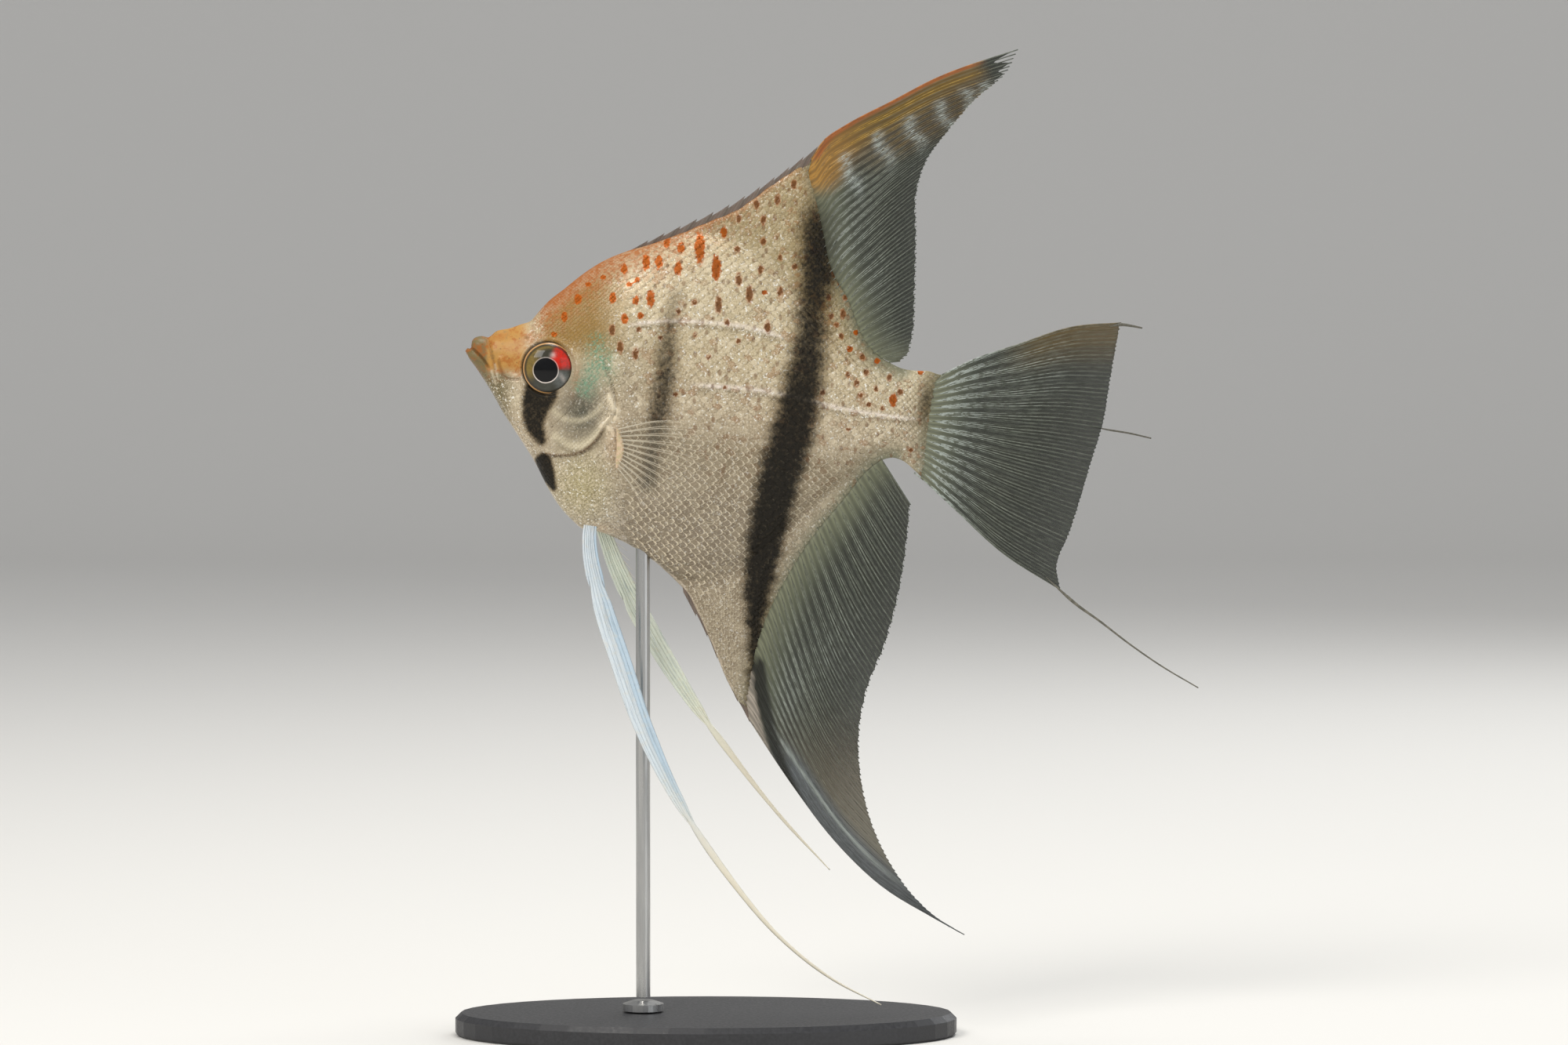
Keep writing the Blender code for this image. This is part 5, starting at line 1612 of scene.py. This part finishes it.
def iris_paint(u, w, paint):
    """Soft colours of the iris, and the distances from pupil and eye centre that its rings use."""
    turn = np.degrees(np.arctan2(w - PUPIL_W, u - PUPIL_U))
    from_middle = np.hypot(u - EYE_U, w - EYE_W)

    def wedge(middle, half, soft=14):
        away = np.abs((turn - middle + 180) % 360 - 180)
        return ease(half - away, -soft, soft)

    tint = laid(
        plain(u, paint.smoke),
        (paint.gold, 0.5 * wedge(166, 40, 25)),
        (paint.slate, 0.8 * wedge(-30, 26)),
        (paint.slate, 0.22 * wedge(-100, 40, 30)),
        # painted highlight: white glints on the lower rear of the iris
        (paint.ring, 0.4 * blob(u, w, (17.2, -4.6), (0.9, 0.35), -60)),
        (paint.gold, 0.4 * wedge(100, 30, 20) * ease(from_middle, 3.0, 3.8)),
        (paint.red, 0.95 * wedge(36, 30, 10)),
        # painted highlight at the red wedge's front edge
        (paint.ring, 0.55 * blob(u, w, (15.5, -0.6), (0.5, 0.45), 40)),
    )
    bright = 0.4 + 0.6 * ease(-np.sin(np.radians(turn)), -0.4, 0.9)
    out = np.hypot(u - PUPIL_U, w - PUPIL_W)
    return {"tint": tint, "pupil": out, "middle": from_middle, "bright": bright}


EYE_SHADE, SOCKET_SHADE = (0.03, 0.025, 0.018), (0.02, 0.017, 0.012)


def eye_finish(paint):
    """A deep wet eye: painted rings under a clear polished coat."""
    f = Finish("eye", Coat_Weight=1.0, Coat_Roughness=0.015, Coat_IOR=1.28, Specular_IOR_Level=0.08)
    fibres, middle = f.noise(1500, 4, 0.7), f.field("middle")
    out = f.plus(f.field("pupil"), f.waver(900, 2, 0.5, 0.1))
    ring = f.times(f.span(out, 2.06, 2.14), f.span(out, 2.36, 2.22))  # millimetres from the pupil
    f.lay(paint.smoke, f.span(fibres, 0.4, 0.7, 0.0, 0.45))
    f.lay(paint.ring, ring, f.field("bright"))
    f.lay(paint.pupil, f.span(out, 2.16, 2.06))
    f.lay(EYE_SHADE, f.span(middle, 3.7, 3.98), 0.75)
    f.lay(paint.rim, f.span(middle, 4.18, 4.25), 0.9)
    # painted shade where the eyeball sinks into its socket
    f.lay(SOCKET_SHADE, f.span(middle, 4.4, 4.48))
    return f.done(f.span(fibres, 0.3, 0.7, 0.3, 0.42), fibres, 0.06)


# ---- Stand and studio ---------------------------------------------------------------------

COAT_GRAIN, STEEL_HAIR, PAPER_FLECK = (0.06, 0.06, 0.064), (0.3, 0.3, 0.3), (0.6, 0.6, 0.58)


def dress_stand(settings):
    """New finishes for the stand's own solids."""
    f = Finish("powder_coat", settings.stand.base, Coat_Weight=0.1, Coat_Roughness=0.3)
    grain = f.noise(1800, 4, 0.6)
    f.lay(COAT_GRAIN, f.span(grain, 0.35, 0.7, 0.0, 0.35))
    coat = f.done(f.span(grain, 0.3, 0.7, 0.42, 0.62), f.noise(2600, 3, 0.5), 0.05, 0.6)
    f = Finish("brushed_steel", settings.stand.steel, Metallic=1.0)
    hair = f.noise(700, 5, 0.7, (1, 1, 0.05))
    f.lay(STEEL_HAIR, f.span(hair, 0.3, 0.7, 0.0, 0.4))
    steel = f.done(f.span(hair, 0.3, 0.7, 0.22, 0.42), hair, 0.02, 0.4)
    for node, material in (("stand_base", coat), ("stand_collar", steel), ("stand_rod", steel)):
        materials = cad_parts[node].data.materials
        materials.clear()
        materials.append(material)


FLOOR_REACH, FLOOR_HALF, WALL_HIGH, SWEEP = 2.4, 3.2, 2.6, 0.7  # metres
AIR_TINT, AIR_STRENGTH = (0.93, 0.95, 1.0, 1), 0.45


def build_studio(settings):
    """A pale sweep, soft lights and the camera."""
    studio = settings.studio
    turns = np.radians(np.linspace(0, 90, 24))
    bend = [(FLOOR_REACH - SWEEP + SWEEP * math.sin(a), SWEEP * (1 - math.cos(a))) for a in turns]
    profile = [(-FLOOR_REACH, 0.0), *bend, (FLOOR_REACH, WALL_HIGH)]
    bm = bmesh.new()
    rows = [[bm.verts.new((x, y, z)) for y, z in profile] for x in (-FLOOR_HALF, FLOOR_HALF)]
    for i in range(len(profile) - 1):
        bm.faces.new((rows[0][i], rows[1][i], rows[1][i + 1], rows[0][i + 1]))
    mesh = bpy.data.meshes.new("studio_sweep")
    bm.to_mesh(mesh)
    bm.free()
    mesh.shade_smooth()
    paper = Finish("studio_paper", studio.floor, Roughness=0.9)
    paper.lay(PAPER_FLECK, paper.span(paper.noise(3, 3, 0.5), 0.3, 0.7, 0.0, 0.03))
    paper.feed("Base Color", paper.tint)
    mesh.materials.append(paper.material)
    sweep = put_in_scene("studio_sweep", mesh)
    sweep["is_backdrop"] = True

    low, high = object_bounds()
    middle = (low + high) / 2
    lights = (  # (name, place round the model in metres, size, power, colour)
        ("key", (-0.55, -0.75, 0.75), 0.5, studio.key, (1.0, 0.97, 0.92)),
        ("fill", (0.9, -0.8, 0.25), 0.8, studio.fill, (0.93, 0.97, 1.0)),
        ("top", (0.1, 0.1, 1.0), 0.5, studio.key * 0.8, (1.0, 0.99, 0.96)),
        ("rear", (0.5, 0.8, 0.5), 0.5, studio.fill * 0.9, (0.96, 0.98, 1.0)),
    )
    for name, place, size, power, tint in lights:
        lamp = bpy.data.lights.new(name, "AREA")
        lamp.energy, lamp.size, lamp.color = power, size, tint
        holder = put_in_scene(name, lamp)
        holder.location = middle + Vector(place)
        holder.rotation_euler = (-Vector(place)).to_track_quat("-Z", "Y").to_euler()
    world = bpy.data.worlds.new("studio_air")
    world.use_nodes = True
    air = world.node_tree.nodes["Background"].inputs
    air["Color"].default_value, air["Strength"].default_value = AIR_TINT, AIR_STRENGTH
    bpy.context.scene.world = world
    bpy.context.scene.view_settings.view_transform = "Standard"
    place_camera(studio)


VIEW_MIDDLE = (55.7, 0.0, -30.0)  # the middle of the view, in the fish's own millimetres
VIEW_WIDE, SENSOR_WIDE = 274.4, 36.0  # millimetres


def place_camera(studio):
    lens = bpy.data.cameras.new("camera")
    lens.sensor_width = SENSOR_WIDE
    lens.lens = lens.sensor_width * studio.distance / (VIEW_WIDE * MM)
    camera = put_in_scene("camera", lens)
    back = Vector((0, -math.cos(studio.elevation), math.sin(studio.elevation)))
    camera.location = Vector(at(VIEW_MIDDLE)) + back * studio.distance
    camera.rotation_euler = (-back).to_track_quat("-Z", "Y").to_euler()
    bpy.context.scene.camera = camera


# ---- The add-on ---------------------------------------------------------------------------


class PartOperator:
    """Shared by the operators: each runs one builder with the scene's settings."""

    bl_options = {"REGISTER", "UNDO"}

    def execute(self, context):
        type(self).build(context.scene.angelfish)
        return {"FINISHED"}


class ANGELFISH_OT_skin(PartOperator, bpy.types.Operator):
    """Grow the one skin over the flesh, with the folds of the head"""

    bl_idname = "angelfish.skin"
    bl_label = "Skin"
    build = staticmethod(make_skin)


class ANGELFISH_OT_scales(PartOperator, bpy.types.Operator):
    """Lay the scales over both flanks"""

    bl_idname = "angelfish.scales"
    bl_label = "Scales"
    build = staticmethod(make_scales)


class ANGELFISH_OT_eyes(PartOperator, bpy.types.Operator):
    """Make both eyes"""

    bl_idname = "angelfish.eyes"
    bl_label = "Eyes"
    build = staticmethod(make_eyes)


class ANGELFISH_OT_median_fins(PartOperator, bpy.types.Operator):
    """Make the dorsal, anal and tail fins"""

    bl_idname = "angelfish.median_fins"
    bl_label = "Dorsal, Anal and Tail Fins"
    build = staticmethod(make_median_fins)


class ANGELFISH_OT_spines(PartOperator, bpy.types.Operator):
    """Make the spiny fronts of the dorsal and anal fins"""

    bl_idname = "angelfish.spines"
    bl_label = "Spines"
    build = staticmethod(make_spines)


class ANGELFISH_OT_paired_fins(PartOperator, bpy.types.Operator):
    """Make the pectoral and pelvic fins"""

    bl_idname = "angelfish.paired_fins"
    bl_label = "Pectoral and Pelvic Fins"
    build = staticmethod(make_paired_fins)


class ANGELFISH_OT_stand(PartOperator, bpy.types.Operator):
    """Give the stand its powder coat and brushed steel"""

    bl_idname = "angelfish.stand"
    bl_label = "Stand"
    build = staticmethod(dress_stand)


class ANGELFISH_OT_studio(PartOperator, bpy.types.Operator):
    """Set up the floor, lights and camera"""

    bl_idname = "angelfish.studio"
    bl_label = "Studio"
    build = staticmethod(build_studio)


OPERATORS = (
    ANGELFISH_OT_skin, ANGELFISH_OT_scales, ANGELFISH_OT_eyes, ANGELFISH_OT_median_fins,
    ANGELFISH_OT_spines, ANGELFISH_OT_paired_fins, ANGELFISH_OT_stand, ANGELFISH_OT_studio,
)


class ANGELFISH_PT_model(bpy.types.Panel):
    """The angelfish's builders"""

    bl_label = "Angelfish"
    bl_space_type = "VIEW_3D"
    bl_region_type = "UI"
    bl_category = "Angelfish"

    def draw(self, context):
        for operator in OPERATORS:
            self.layout.operator(operator.bl_idname)


CLASSES = (
    FleshPaint, FinPaint, EyePaint, CoatSizes, FinSizes, StandPaint, StudioSettings,
    AngelfishSettings, *OPERATORS, ANGELFISH_PT_model,
)


def register():
    for made in CLASSES:
        bpy.utils.register_class(made)
    bpy.types.Scene.angelfish = PointerProperty(type=AngelfishSettings)


def unregister():
    del bpy.types.Scene.angelfish
    for made in reversed(CLASSES):
        bpy.utils.unregister_class(made)


def main():
    register()
    for operator in OPERATORS:
        group, name = operator.bl_idname.split(".")
        getattr(getattr(bpy.ops, group), name)()
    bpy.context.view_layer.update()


if __name__ == "__main__":
    main()
